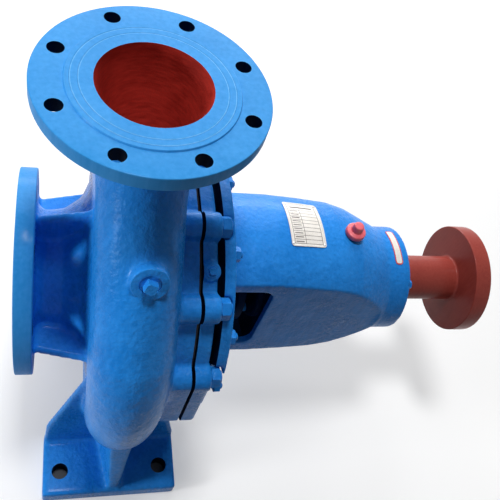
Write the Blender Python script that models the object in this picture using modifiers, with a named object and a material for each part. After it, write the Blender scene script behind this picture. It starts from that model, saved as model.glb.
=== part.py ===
"""End-suction centrifugal pump with a volute casing, a bearing bracket and a coupling half.

Everything is in metres with +Z up. The pieces are placed in the pump's own frame, in which the
shaft lies on the X axis, X = 0 is the centreline of the discharge branch and -Y is the side on
which the volute is widest. The empty "pump_frame" then stands the pump on the floor, with the
origin under the middle of its box.
"""

import math

import bmesh
import bpy
from mathutils import Matrix, Vector

# Main sizes, from the shaft and from the discharge centreline
SHAFT_HEIGHT = 0.280
SUCTION_FACE = -0.140
DISCHARGE_FACE = 0.355
SHAFT_END = 0.530

# Gaps between pieces, and how far shapes run into or past each other when they are joined or cut
TOUCH_GAP = 0.0003
RUN_GAP = 0.0008
SHAFT_GAP = 0.0012
RUNNING_CLEARANCE = 0.0052
SINK = 0.006
NICK = 0.001
OVERCUT = 0.010

# Discharge branch
DISCHARGE_BORE_R = 0.061
DISCHARGE_FLANGE_R = 0.1225
DISCHARGE_FLANGE_THICK = 0.0195
DISCHARGE_FACE_R = 0.0895
DISCHARGE_PCD_R = 0.105
DISCHARGE_HOLE_R = 0.009
RAISED_FACE = 0.002

# Suction branch
SUCTION_BORE_R = 0.075
SUCTION_FLANGE_R = 0.140
SUCTION_FLANGE_THICK = 0.0245
SUCTION_FACE_R = 0.106
SUCTION_PCD_R = 0.120
SUCTION_HOLE_R = 0.0115
FLANGE_HOLES = 8
NOZZLE_WALL = 0.008
NOZZLE_FILLET = 0.008
# Along from the casing's front wall and out from the nozzle, where the nozzle widens
NOZZLE_FLARE = [(-0.036, 0.004), (-0.014, 0.020), (-0.003, 0.045)]
RIBS = 4
RIB_THICK = 0.012
RIB_LOW_R = 0.119
RIB_HIGH_R = 0.139

# Impeller chamber
IMPELLER_R = 0.1575
IMPELLER_GAP = 0.0075
CHAMBER_FRONT = -0.031
CHAMBER_WALL = 0.013
SHELL_WALL = 0.012
SHELL_ROUND = 0.012

# Volute; its tube is narrower along the shaft than across it, by TUBE_FLAT
WALL = 0.0125
TONGUE_ANGLE = -20.0
SPIRAL_SWEEP = 280.0
TONGUE_INSET = 0.007
SPIRAL_GROWTH = 0.037
TUBE_R_START = 0.031
TUBE_R_END = 0.058
TUBE_FLAT = 0.88
TUBE_X = -0.002
NECK_R = 0.057
NECK_LEAVE = 0.42
NECK_ARRIVE = 0.36
NECK_FLARE_START = 0.50
NECK_FLARE_POWER = 2.0
NECK_INTO_FLANGE = 0.004

# Casing joint; the bosses beside the widest point share a straight side, and the lower ones have
# no stud
JOINT_FACE = 0.0725
RING_THICK = 0.0245
RING_WIDTH = 0.023
STUDS = 12
STUD_PROUD = 0.002
STUD_BOSS_R = 0.018
BLIND_BOSSES = (105, 255)
GASKET_INSET = 0.001
GASKET_MARGIN = 0.008
WEAR_RING_R = 0.0905
WEAR_RING_WALL = 0.0065
WEAR_RING_LENGTH = 0.021

# Feet
FOOT_LENGTH = 0.200
FOOT_OUTER_Y = 0.2355
FOOT_WIDTH = 0.093
FOOT_THICK = 0.0265
FOOT_HOLE_R = 0.012
FOOT_HOLE_X = 0.075
FOOT_HOLE_Y = 0.200
WEB_THICK = 0.009
WEB_TOP = -0.024
WEB_SHOULDER = 0.055
WEB_FRONT_TAPER = 0.004
WEB_BACK_TAPER = 0.012
WEB_BACK_RISE = 0.040
FOOT_RIB_X = 0.004
FOOT_RIB_FRONT = 0.015
FOOT_RIB_BACK = 0.046
FOOT_RIB_TOE = 0.004
FOOT_RIB_HEAD = 0.022
FOOT_RIB_RISE = 0.045

# Casing cover, stuffing box and gland
COVER_GAP = 0.0045
COVER_THICK = 0.0185
COVER_BOSS = 0.003
COVER_DEPTH = 0.031
PLATE_THICK = 0.022
PLATE_FILLET = 0.012
RECESS_TAPER = 0.006
BOX_R = 0.052
BOX_FLANGE_R = 0.066
BOX_FLANGE_THICK = 0.012
BOX_LENGTH = 0.104
THROAT = 0.020
PACKING_R = 0.042
GLAND_NOSE = 0.020
GLAND_STAND_OFF = 0.006
GLAND_THICK = 0.012
GLAND_STUD_R = 0.005
GLAND_STUD_CIRCLE = 0.0585
GLAND_STUD_LENGTH = 0.027

# Bearing bracket; its taper gives (along from the flange, share of the way from the barrel's radius
# out to the lantern's)
BRACKET_STAND_OFF = 0.0085
BRACKET_FLANGE_THICK = 0.0145
SPIGOT_INSET = 0.015
BRACKET_STUDS = 8
BRACKET_STUD_INSET = 0.020
BRACKET_STUD_HOLE_R = 0.0085
NUT_CLEARANCE_R = 0.0148
BRACKET_FLAT = 0.164
BRACKET_LENGTH = 0.295
LANTERN_R = 0.123
BRACKET_TAPER = [(0.0765, 1.0), (0.1275, 0.92), (0.1765, 0.80), (0.2065, 0.61), (0.2285, 0.375), (0.2475, 0.16)]
BARREL_R = 0.079
BARREL_LENGTH = 0.0325
LANTERN_WALL = 0.010
LANTERN_FILLET = 0.008
LANTERN_RELIEF = 0.004
LANTERN_LENGTH = 0.0775
SIDE_FLAT = 0.078
FLAT_END = 0.2565
SIDE_WALL = 0.0095
BRACKET_WALL = 0.009
END_WALL = 0.012
WINDOW_TOP = 0.077
WINDOW_BOTTOM = -0.070
WINDOW_CORNER = 0.018
CORNER_STEPS = 4
WINDOW_SILL = 0.0085

# Bearings and their covers
BEARING_R = 0.050
BEARING_WIDTH = 0.025
BEARING_SETBACK = 0.022
BEARING_END_GAP = 0.0045
BEARING_SHOULDER = 0.004
BEARING_COVER_R = 0.062
BEARING_COVER_THICK = 0.010
COVER_CHAMFER = 0.003
PLATE_STEPS = 10

# Plates and plugs
SHEET_THICK = 0.0010
NAMEPLATE_AT = 0.0955
NAMEPLATE_WIDTH = 0.054
NAMEPLATE_FROM = -26
NAMEPLATE_TO = 14
LABEL_AT = 0.009
LABEL_WIDTH = 0.012
LABEL_FROM = -28
LABEL_TO = 19
OIL_PLUG_AT = 0.196
OIL_DRAIN_AT = 0.1815
OIL_THREAD_R = 0.010
OIL_PLUG_R = 0.0135
OIL_PLUG_THREAD = 0.018
OIL_PLUG_HEAD = 0.020
OIL_DRAIN_THREAD = 0.015
OIL_DRAIN_HEAD = 0.014
GAUGE_SECTION = 0.28
GAUGE_X = 0.004
GAUGE_BOSS_R = 0.021
GAUGE_BOSS_HEIGHT = 0.007
DRAIN_BOSS_R = 0.017
DRAIN_BOSS_HEIGHT = 0.008
FLUSH_ANGLE = 31.5
FLUSH_BOSS_R = 0.009
FLUSH_BOSS_HEIGHT = 0.003
FLUSH_THREAD_R = 0.006
PIPE_THREAD_R = 0.0105
PIPE_THREAD = 0.010
PLUG_COLLAR = 0.0015
GAUGE_PLUG_HEAD = 0.010
DRAIN_PLUG_COLLAR = 0.003
DRAIN_PLUG_HEAD = 0.012
FLUSH_PLUG_HEAD = 0.005
PLUG_ROOT = 0.2
PLUG_FLANGE = 0.4
PLUG_SQUARE = 0.70

# Rotor
SHAFT_TIP_R = 0.010
IMPELLER_SEAT_R = 0.016
SLEEVE_SEAT_R = 0.022
BEARING_SEAT_R = 0.0225
SHAFT_BODY_R = 0.030
SHAFT_WAY_GAP = 0.006
SHAFT_PAST_NUT = 0.002
SEAT_LEAD = 0.008
COUPLING_SEAT_R = 0.021
SHAFT_CHAMFER = 0.0015
SLEEVE_R = 0.030
SLEEVE_PAST_BOX = 0.024
IMPELLER_SETBACK = 0.0125
IMPELLER_LENGTH = 0.0595
IMPELLER_HUB_R = 0.032
IMPELLER_NOSE = 0.006
HUB_TAPER = 0.004
# Along from the back shroud's face and out from the hub, where the hub sweeps into the shroud
HUB_SWEEP = [(-0.024, -0.004), (-0.008, 0.006), (0.0, 0.022)]
SHROUD_THICK = 0.006
BACK_SHROUD_AT = 0.0135
SHROUD_SPACING = 0.034
EYE_WALL = 0.008
EYE_SWEEP = 0.010
VANES = 6
VANE_THICK = 0.005
VANE_IN_R = 0.040
VANE_WRAP = 115.0
VANE_STEPS = 6
VANE_BEND = 0.8
VANE_ROOT = 1.6
NUT_R = 0.018
NUT_LENGTH = 0.020
NUT_CHAMFER = 0.002
NUT_CHAMFER_DEPTH = 0.003
COUPLING_R = 0.084
COUPLING_PAST_SHAFT = 0.0185
COUPLING_THICK = 0.026
HUB_R = 0.0347
HUB_LENGTH = 0.1145
HUB_CHAMFER = 0.002
HUB_FILLET = 0.003
KEY_WIDTH = 0.012
KEY_HEIGHT = 0.008
KEY_LENGTH = 0.080
KEY_SETBACK = 0.002

# Segments of round shapes
ROUND = 40
MID_ROUND = 32
SMALL_ROUND = 16
BOSS_ROUND = 12
HOLE_ROUND = 8
TUBE_SIDES = 20
SPIRAL_STEPS = 18
NECK_STEPS = 7

# Places along the shaft, and radii, that follow from the sizes above
FLANGE_BACK = SUCTION_FACE + SUCTION_FLANGE_THICK
NOZZLE_R = SUCTION_BORE_R + NOZZLE_WALL
FRONT_WALL = CHAMBER_FRONT - CHAMBER_WALL
CHAMBER_R = IMPELLER_R + IMPELLER_GAP
SHELL_R = CHAMBER_R + SHELL_WALL
SPIRAL_R = CHAMBER_R - TONGUE_INSET
RING_R = CHAMBER_R + RING_WIDTH
STUD_CIRCLE_R = RING_R + STUD_PROUD
BRACKET_STUD_CIRCLE = RING_R - BRACKET_STUD_INSET
SPIGOT_R = CHAMBER_R - SPIGOT_INSET
WEAR_RING_START = CHAMBER_FRONT - WEAR_RING_LENGTH
EYE_R = WEAR_RING_R - WEAR_RING_WALL - RUNNING_CLEARANCE
COVER_FACE = JOINT_FACE + COVER_GAP
COVER_BACK = COVER_FACE + COVER_THICK
COVER_INNER_FACE = COVER_FACE - COVER_DEPTH
BOX_END = COVER_INNER_FACE + BOX_LENGTH
THROAT_END = COVER_INNER_FACE + THROAT
GLAND_FACE = BOX_END + GLAND_STAND_OFF
BRACKET_FACE = COVER_BACK + BRACKET_STAND_OFF
BRACKET_BACK = BRACKET_FACE + BRACKET_FLANGE_THICK
BRACKET_END = BRACKET_BACK + BRACKET_LENGTH
LANTERN_CAVITY_R = LANTERN_R - LANTERN_WALL
LANTERN_END = BRACKET_BACK + LANTERN_LENGTH
BARREL_START = BRACKET_END - BARREL_LENGTH
BEARING_1 = LANTERN_END + BEARING_SETBACK
BEARING_2 = BRACKET_END - BEARING_END_GAP - BEARING_WIDTH
IMPELLER_BACK = COVER_INNER_FACE - IMPELLER_SETBACK
IMPELLER_FRONT = IMPELLER_BACK - IMPELLER_LENGTH
BACK_SHROUD = IMPELLER_BACK - BACK_SHROUD_AT
FRONT_SHROUD = BACK_SHROUD - SHROUD_SPACING
COUPLING_FACE = SHAFT_END + COUPLING_PAST_SHAFT
HUB_START = COUPLING_FACE - HUB_LENGTH

BLUE = (0.02, 0.20, 0.55)
OXIDE = (0.30, 0.08, 0.05)
CAST = (0.25, 0.23, 0.22)
STEEL = (0.55, 0.55, 0.56)
DARK = (0.02, 0.02, 0.025)
RED = (0.70, 0.12, 0.14)
CREAM = (0.85, 0.83, 0.74)


for old in list(bpy.data.objects):
    bpy.data.objects.remove(old, do_unlink=True)


def collection(name):
    made = bpy.data.collections.new(name)
    bpy.context.scene.collection.children.link(made)
    return made


PARTS = collection("centrifugal_pump")
HELPERS = collection("cutters")

pump_frame = bpy.data.objects.new("pump_frame", None)
PARTS.objects.link(pump_frame)


def paint(name, colour, roughness, metallic=0.0):
    made = bpy.data.materials.new(name)
    made.use_nodes = True
    shader = made.node_tree.nodes["Principled BSDF"]
    shader.inputs["Base Color"].default_value = (*colour, 1)
    shader.inputs["Roughness"].default_value = roughness
    shader.inputs["Metallic"].default_value = metallic
    return made


def add(name, mesh, home=HELPERS):
    """Links a mesh as an object in the pump's frame; one in HELPERS is a guide or a cutter."""
    made = bpy.data.objects.new(name, mesh)
    home.objects.link(made)
    made.parent = pump_frame
    if home is not PARTS:
        made.hide_render = True
        made.display_type = "WIRE"
    return made


def add_shape(name, work, home):
    """Turns a bmesh into an object, with its faces pointing out."""
    bmesh.ops.recalc_face_normals(work, faces=work.faces)
    mesh = bpy.data.meshes.new(name)
    work.to_mesh(mesh)
    work.free()
    return add(name, mesh, home)


def finish(thing, colour, roughness, metallic=0.0):
    thing.data.materials.clear()
    thing.data.materials.append(paint(thing.name, colour, roughness, metallic))
    thing.data.shade_smooth()
    thing.data.set_sharp_from_angle(angle=math.radians(35))
    return thing


def turned(name, outline, home=HELPERS, steps=ROUND, angle=360.0, start=0.0):
    """Turns an outline of (along, radius) points round the X axis.

    An outline that begins and ends on the axis makes a solid, and any other one is closed to a
    ring. Turned by less than a full circle, it stays an open sheet.
    """
    sheet = angle < 360
    solid = outline[0][1] == 0 and outline[-1][1] == 0
    loop = list(outline)
    area = sum(a[0] * b[1] - b[0] * a[1] for a, b in zip(loop, loop[1:] + loop[:1]))
    if area < 0 and not sheet:
        loop.reverse()
    mesh = bpy.data.meshes.new(name)
    edges = [(i, i + 1) for i in range(len(loop) - 1)]
    if not (solid or sheet):
        edges.append((len(loop) - 1, 0))
    mesh.from_pydata([(radius, 0, along) for along, radius in loop], edges, [])
    made = add(name, mesh, home)
    made.rotation_euler = (0, math.radians(90), 0)
    if sheet:
        turn = Matrix.Rotation(math.radians(180 + start), 4, "X")
        made.matrix_local = turn @ Matrix.Rotation(math.radians(90), 4, "Y")
    screw = made.modifiers.new("turn", "SCREW")
    screw.axis = "Z"
    screw.angle = math.radians(angle)
    screw.steps = steps
    screw.render_steps = steps
    screw.use_merge_vertices = True
    screw.merge_threshold = 0.00001
    return made


def rod_x(name, low, high, radius, y=0.0, z=0.0, home=HELPERS, steps=SMALL_ROUND):
    made = turned(name, [(low, 0), (low, radius), (high, radius), (high, 0)], home, steps)
    made.location = (0, y, z)
    return made


def rod(name, start, end, radius, home=HELPERS, steps=SMALL_ROUND):
    """A cylinder between two points."""
    start, end = Vector(start), Vector(end)
    turn = (end - start).to_track_quat("Z", "Y").to_matrix().to_4x4()
    work = bmesh.new()
    bmesh.ops.create_cone(
        work,
        cap_ends=True,
        segments=steps,
        radius1=radius,
        radius2=radius,
        depth=(end - start).length,
        matrix=Matrix.Translation((start + end) / 2) @ turn,
    )
    return add_shape(name, work, home)


def block(name, low, high, home=HELPERS):
    size = Vector(high) - Vector(low)
    middle = (Vector(high) + Vector(low)) / 2
    work = bmesh.new()
    bmesh.ops.create_cube(work, size=1, matrix=Matrix.Translation(middle) @ Matrix.Diagonal((*size, 1)))
    return add_shape(name, work, home)


def prism(name, outline, direction, home=HELPERS):
    """Extrudes a flat outline of 3-D points along a direction."""
    work = bmesh.new()
    face = work.faces.new([work.verts.new(point) for point in outline])
    pushed = bmesh.ops.extrude_face_region(work, geom=[face])
    moved = [item for item in pushed["geom"] if isinstance(item, bmesh.types.BMVert)]
    bmesh.ops.translate(work, verts=moved, vec=Vector(direction))
    return add_shape(name, work, home)


def wedge(name, corners, home=HELPERS):
    """The solid that its corners span."""
    work = bmesh.new()
    points = [work.verts.new(corner) for corner in corners]
    bmesh.ops.convex_hull(work, input=points)
    return add_shape(name, work, home)


def combine(thing, operation, others):
    """Joins helpers to a piece, or cuts them from it, all in one Boolean."""
    group = bpy.data.collections.new(f"{thing.name}_{operation.lower()}")
    HELPERS.children.link(group)
    for other in others:
        HELPERS.objects.unlink(other)
        group.objects.link(other)
    change = thing.modifiers.new(operation.lower(), "BOOLEAN")
    change.operation = operation
    change.operand_type = "COLLECTION"
    change.collection = group
    change.solver = "EXACT"


def around(count, first=0.0):
    """Angles round the shaft in degrees, from the top towards -Y."""
    return [first + 360.0 * i / count for i in range(count)]


def on_circle(angle, radius):
    """(y, z) at an angle from the top, which grows towards -Y."""
    turn = math.radians(angle)
    return -radius * math.sin(turn), radius * math.cos(turn)


def spiral_section(share):
    """Centre, outward direction and radii across and along the shaft of the volute's tube."""
    angle = TONGUE_ANGLE - SPIRAL_SWEEP * share
    size = TUBE_R_START + (TUBE_R_END - TUBE_R_START) * share
    centre = Vector((TUBE_X, *on_circle(angle, SPIRAL_R + SPIRAL_GROWTH * share)))
    return centre, Vector((0, *on_circle(angle, 1))), size, size * TUBE_FLAT


def neck_section(share):
    """The same for the neck, which bends from the spiral's end up to the discharge flange."""
    start, out, _, _ = spiral_section(1.0)
    leave = Vector((0, out.z, -out.y))
    top = Vector((0, 0, DISCHARGE_FACE - NECK_INTO_FLANGE))
    reach = (top - start).length
    first = start + leave * reach * NECK_LEAVE
    second = top - Vector((0, 0, reach * NECK_ARRIVE))
    rest = 1 - share
    centre = start * rest**3 + first * 3 * rest**2 * share
    centre += second * 3 * rest * share**2 + top * share**3
    along = (first - start) * rest**2 + (second - first) * 2 * rest * share
    along = (along + (top - second) * share**2).normalized()
    flare = max(0.0, (share - NECK_FLARE_START) / (1 - NECK_FLARE_START)) ** NECK_FLARE_POWER
    size = NECK_R + (DISCHARGE_BORE_R + WALL - NECK_R) * flare
    centre.x = TUBE_X * (1 - flare)
    return centre, Vector((0, -along.z, along.y)), size, size * (TUBE_FLAT + (1 - TUBE_FLAT) * flare)


def volute_tube(name, offset, extra=0.0):
    """Lofts the spiral and its neck as one closed tube, larger or smaller by an offset."""
    sections = [spiral_section(i / SPIRAL_STEPS) for i in range(SPIRAL_STEPS + 1)]
    sections += [neck_section(i / NECK_STEPS) for i in range(1, NECK_STEPS + 1)]
    if extra:
        centre, out, size, width = sections[-1]
        sections.append((centre + Vector((0, 0, extra)), out, size, width))
    work = bmesh.new()
    rings = []
    for centre, out, size, width in sections:
        ring = []
        for side in range(TUBE_SIDES):
            turn = 2 * math.pi * side / TUBE_SIDES
            sideways = Vector((math.sin(turn) * (width + offset), 0, 0))
            ring.append(work.verts.new(centre + out * math.cos(turn) * (size + offset) + sideways))
        rings.append(ring)
    for ring, following in zip(rings, rings[1:]):
        for side in range(TUBE_SIDES):
            beside = (side + 1) % TUBE_SIDES
            work.faces.new((ring[side], ring[beside], following[beside], following[side]))
    work.faces.new(rings[0])
    work.faces.new(rings[-1])
    return add_shape(name, work, HELPERS)


def suction_rib(angle):
    """A web between the suction flange and the front of the volute."""
    back = SUCTION_FACE + SUCTION_FLANGE_THICK / 2
    outline = [
        (back, NOZZLE_R - SINK),
        (back, RIB_LOW_R),
        (FRONT_WALL + SINK, RIB_HIGH_R),
        (FRONT_WALL + SINK, NOZZLE_R - SINK),
    ]
    side = Vector((0, *on_circle(angle + 90, RIB_THICK)))
    points = [Vector((x, *on_circle(angle, radius))) - side / 2 for x, radius in outline]
    return prism(f"suction_rib_{int(angle)}", points, side)


def foot(side):
    """Pad, cross web and middle rib under one side of the volute; side is -1 or +1 along Y."""
    floor = -SHAFT_HEIGHT
    pad_top = floor + FOOT_THICK
    outer = side * FOOT_OUTER_Y
    inner = side * (FOOT_OUTER_Y - FOOT_WIDTH)
    half = FOOT_LENGTH / 2
    low_y, high_y = sorted((outer, inner))
    pad = block(f"foot_pad_{side}", (-half, low_y, floor), (half, high_y, pad_top))
    shoulder = pad_top + WEB_SHOULDER
    outline = [
        (-half, pad_top - SINK),
        (half, pad_top - SINK),
        (half, pad_top + SINK),
        (half - WEB_BACK_TAPER, shoulder),
        (JOINT_FACE - RING_THICK, -CHAMBER_R + WEB_BACK_RISE),
        (FRONT_WALL + SINK, WEB_TOP),
        (FRONT_WALL - SINK / 2, WEB_TOP),
        (-half + WEB_FRONT_TAPER, shoulder),
    ]
    web = prism(f"foot_web_{side}", [(x, inner, z) for x, z in outline], (0, side * WEB_THICK, 0))
    corners = []
    for width, y, z in (
        (FOOT_RIB_FRONT, outer - side * FOOT_RIB_TOE, pad_top - SINK),
        (FOOT_RIB_FRONT, outer - side * FOOT_RIB_HEAD, -CHAMBER_R + FOOT_RIB_RISE),
        (FOOT_RIB_BACK, inner, pad_top - SINK),
        (FOOT_RIB_BACK, inner, -CHAMBER_R + FOOT_RIB_RISE),
    ):
        corners += [(FOOT_RIB_X - width / 2, y, z), (FOOT_RIB_X + width / 2, y, z)]
    return [pad, web, wedge(f"foot_rib_{side}", corners)]


def gauge_place():
    """Where the gauge tapping leaves the neck, and its direction."""
    centre, out, size, _ = neck_section(GAUGE_SECTION)
    centre.x = GAUGE_X
    return centre + out * (size + GAUGE_BOSS_HEIGHT), out


def drain_place():
    """Where the drain tapping leaves the lowest stretch of the volute, and its direction."""
    share = (180 + TONGUE_ANGLE) / SPIRAL_SWEEP
    centre, out, size, _ = spiral_section(share)
    return centre + out * (size + DRAIN_BOSS_HEIGHT), out


def flush_place():
    """Where the flushing tapping leaves the cover's rim, and its direction."""
    out = Vector((0, *on_circle(FLUSH_ANGLE, 1)))
    return Vector(((COVER_FACE + COVER_BACK) / 2, 0, 0)) + out * (RING_R + FLUSH_BOSS_HEIGHT), out


def boss(name, place, radius, depth):
    end, out = place
    return rod(name, end - out * depth, end, radius)


def tapped_hole(name, place, radius):
    end, out = place
    return rod(name, end - out * (PIPE_THREAD + NICK), end + out * OVERCUT, radius + TOUCH_GAP)


def straight_side(side, low, high):
    """Fills the rim between the two bosses beside the widest point; side is -1 or +1 along Y."""
    half_step = math.radians(180 / STUDS)
    edge = STUD_CIRCLE_R * math.cos(half_step) + STUD_BOSS_R - TOUCH_GAP
    reach = STUD_CIRCLE_R * math.sin(half_step)
    low_y, high_y = sorted((side * edge, side * (edge - 2 * STUD_BOSS_R)))
    return block(f"straight_side_{side}", (low, low_y, -reach), (high, high_y, reach))


def make_casing():
    raised = SUCTION_FACE + RAISED_FACE
    flare = [(FRONT_WALL + along, NOZZLE_R + out) for along, out in NOZZLE_FLARE]
    casing = turned(
        "volute_casing",
        [
            (SUCTION_FACE, 0),
            (SUCTION_FACE, SUCTION_FACE_R),
            (raised, SUCTION_FACE_R),
            (raised, SUCTION_FLANGE_R),
            (FLANGE_BACK, SUCTION_FLANGE_R),
            (FLANGE_BACK, NOZZLE_R + NOZZLE_FILLET),
            (FLANGE_BACK + NOZZLE_FILLET, NOZZLE_R),
            *flare,
            (FRONT_WALL, SHELL_R - SHELL_ROUND),
            (FRONT_WALL + SHELL_ROUND, SHELL_R),
            (JOINT_FACE - RING_THICK, SHELL_R),
            (JOINT_FACE - RING_THICK, RING_R),
            (JOINT_FACE, RING_R),
            (JOINT_FACE, 0),
        ],
        PARTS,
    )
    face_low = DISCHARGE_FACE - DISCHARGE_FLANGE_THICK
    step = DISCHARGE_FACE - RAISED_FACE
    disc = rod("discharge_disc", (0, 0, face_low), (0, 0, step), DISCHARGE_FLANGE_R, steps=ROUND)
    low, high = (0, 0, face_low + SINK), (0, 0, DISCHARGE_FACE)
    face = rod("discharge_raised", low, high, DISCHARGE_FACE_R, steps=ROUND)
    joins = [volute_tube("volute_outside", 0.0), disc, face]
    joins += [suction_rib(angle) for angle in around(RIBS)]
    ring_front = JOINT_FACE - RING_THICK
    for angle in around(STUDS, 180 / STUDS):
        y, z = on_circle(angle, STUD_CIRCLE_R)
        name = f"casing_boss_{int(angle)}"
        low = ring_front - RAISED_FACE
        joins.append(rod_x(name, low, JOINT_FACE, STUD_BOSS_R, y, z, steps=BOSS_ROUND))
    joins += [straight_side(side, ring_front, JOINT_FACE) for side in (-1, 1)]
    joins += foot(-1) + foot(1)
    joins.append(boss("gauge_boss", gauge_place(), GAUGE_BOSS_R, GAUGE_BOSS_HEIGHT + SINK))
    joins.append(boss("drain_boss", drain_place(), DRAIN_BOSS_R, DRAIN_BOSS_HEIGHT + SINK))
    combine(casing, "UNION", joins)

    cuts = [
        turned(
            "water_way",
            [
                (SUCTION_FACE - OVERCUT, 0),
                (SUCTION_FACE - OVERCUT, SUCTION_BORE_R),
                (WEAR_RING_START, SUCTION_BORE_R),
                (WEAR_RING_START, WEAR_RING_R + TOUCH_GAP),
                (CHAMBER_FRONT, WEAR_RING_R + TOUCH_GAP),
                (CHAMBER_FRONT, CHAMBER_R),
                (JOINT_FACE + OVERCUT, CHAMBER_R),
                (JOINT_FACE + OVERCUT, 0),
            ],
        ),
        volute_tube("volute_inside", -WALL, extra=2 * OVERCUT),
    ]
    for angle in around(FLANGE_HOLES, 180 / FLANGE_HOLES):
        x, y = on_circle(angle, DISCHARGE_PCD_R)
        low, high = (x, y, face_low - OVERCUT), (x, y, DISCHARGE_FACE + OVERCUT)
        cuts.append(rod(f"discharge_hole_{int(angle)}", low, high, DISCHARGE_HOLE_R, steps=BOSS_ROUND))
        y, z = on_circle(angle, SUCTION_PCD_R)
        low, high = SUCTION_FACE - OVERCUT, FLANGE_BACK + OVERCUT / 2
        cuts.append(rod_x(f"suction_hole_{int(angle)}", low, high, SUCTION_HOLE_R, y, z, steps=BOSS_ROUND))
    floor = -SHAFT_HEIGHT
    for x in (-FOOT_HOLE_X, FOOT_HOLE_X):
        for y in (-FOOT_HOLE_Y, FOOT_HOLE_Y):
            low, high = (x, y, floor - OVERCUT), (x, y, floor + FOOT_THICK + OVERCUT)
            cuts.append(rod("foot_hole", low, high, FOOT_HOLE_R))
    cuts.append(tapped_hole("gauge_hole", gauge_place(), PIPE_THREAD_R))
    cuts.append(tapped_hole("drain_hole", drain_place(), PIPE_THREAD_R))
    combine(casing, "DIFFERENCE", cuts)
    return finish(casing, BLUE, 0.35)


def make_wear_ring():
    inner = EYE_R + RUNNING_CLEARANCE
    low = WEAR_RING_START + TOUCH_GAP
    outline = [(low, inner), (low, WEAR_RING_R), (CHAMBER_FRONT, WEAR_RING_R), (CHAMBER_FRONT, inner)]
    finish(turned("suction_wear_ring", outline, PARTS), STEEL, 0.4, 0.8)


def make_gasket():
    low = JOINT_FACE + TOUCH_GAP
    high = COVER_FACE - TOUCH_GAP
    inner = CHAMBER_R + GASKET_INSET
    outer = RING_R - GASKET_MARGIN
    outline = [(low, inner), (low, outer), (high, outer), (high, inner)]
    finish(turned("casing_gasket", outline, PARTS), DARK, 0.8)


def make_cover():
    bore = SLEEVE_R + RUN_GAP
    plate_back = COVER_INNER_FACE + PLATE_THICK
    cover = turned(
        "casing_cover",
        [
            (COVER_INNER_FACE, bore),
            (COVER_INNER_FACE, CHAMBER_R - TOUCH_GAP),
            (COVER_FACE, CHAMBER_R - TOUCH_GAP),
            (COVER_FACE, RING_R),
            (COVER_BACK, RING_R),
            (COVER_BACK, LANTERN_CAVITY_R),
            (plate_back, LANTERN_CAVITY_R - RECESS_TAPER),
            (plate_back, BOX_R + PLATE_FILLET),
            (plate_back + PLATE_FILLET, BOX_R),
            (BOX_END - BOX_FLANGE_THICK, BOX_R),
            (BOX_END - BOX_FLANGE_THICK, BOX_FLANGE_R),
            (BOX_END, BOX_FLANGE_R),
            (BOX_END, PACKING_R),
            (THROAT_END, PACKING_R),
            (THROAT_END, bore),
        ],
        PARTS,
    )
    bosses = [boss("flush_boss", flush_place(), FLUSH_BOSS_R, FLUSH_BOSS_HEIGHT + SINK)]
    bosses += [straight_side(side, COVER_FACE, COVER_BACK) for side in (-1, 1)]
    for angle in around(STUDS, 180 / STUDS):
        y, z = on_circle(angle, STUD_CIRCLE_R)
        name = f"cover_boss_{int(angle)}"
        high = COVER_BACK if int(angle) in BLIND_BOSSES else COVER_BACK + COVER_BOSS
        bosses.append(rod_x(name, COVER_FACE, high, STUD_BOSS_R, y, z, steps=BOSS_ROUND))
    combine(cover, "UNION", bosses)
    combine(cover, "DIFFERENCE", [tapped_hole("flush_hole", flush_place(), FLUSH_THREAD_R)])
    return finish(cover, BLUE, 0.35)


def make_packing():
    low = THROAT_END + TOUCH_GAP
    high = BOX_END - GLAND_NOSE - TOUCH_GAP
    inner = SLEEVE_R + RUN_GAP
    outer = PACKING_R - TOUCH_GAP
    outline = [(low, inner), (low, outer), (high, outer), (high, inner)]
    finish(turned("packing_rings", outline, PARTS, MID_ROUND), DARK, 0.9)


def make_gland():
    bore = SLEEVE_R + RUN_GAP
    nose = BOX_END - GLAND_NOSE
    high = GLAND_FACE + GLAND_THICK
    gland = turned(
        "packing_gland",
        [
            (nose, bore),
            (nose, PACKING_R - TOUCH_GAP),
            (GLAND_FACE, PACKING_R - TOUCH_GAP),
            (GLAND_FACE, BOX_FLANGE_R),
            (high, BOX_FLANGE_R),
            (high, bore),
        ],
        PARTS,
        MID_ROUND,
    )
    holes = []
    for side, name in ((-1, "gland_stud_lower"), (1, "gland_stud_upper")):
        z = side * GLAND_STUD_CIRCLE
        hole_r = GLAND_STUD_R + TOUCH_GAP
        holes.append(rod_x("gland_hole", GLAND_FACE - SINK, high + SINK, hole_r, 0, z, steps=BOSS_ROUND))
        end = BOX_END + GLAND_STUD_LENGTH
        stud = rod_x(name, BOX_END + TOUCH_GAP, end, GLAND_STUD_R, 0, z, PARTS, BOSS_ROUND)
        finish(stud, STEEL, 0.4, 0.9)
    combine(gland, "DIFFERENCE", holes)
    finish(gland, BLUE, 0.4)


def bracket_outline():
    """(x, radius) along the bracket's back, from its flange to its end."""
    points = [(BRACKET_BACK, LANTERN_R + LANTERN_FILLET), (BRACKET_BACK + LANTERN_FILLET, LANTERN_R)]
    points += [(BRACKET_BACK + along, BARREL_R + (LANTERN_R - BARREL_R) * share) for along, share in BRACKET_TAPER]
    points += [(BARREL_START, BARREL_R), (BRACKET_END - COVER_CHAMFER, BARREL_R)]
    return points


def bracket_r(x):
    """Radius of the bracket's rounded back at a place along the shaft."""
    points = bracket_outline()
    for (low, low_r), (high, high_r) in zip(points, points[1:]):
        if low <= x <= high:
            return low_r + (high_r - low_r) * (x - low) / (high - low)
    return BARREL_R


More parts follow.
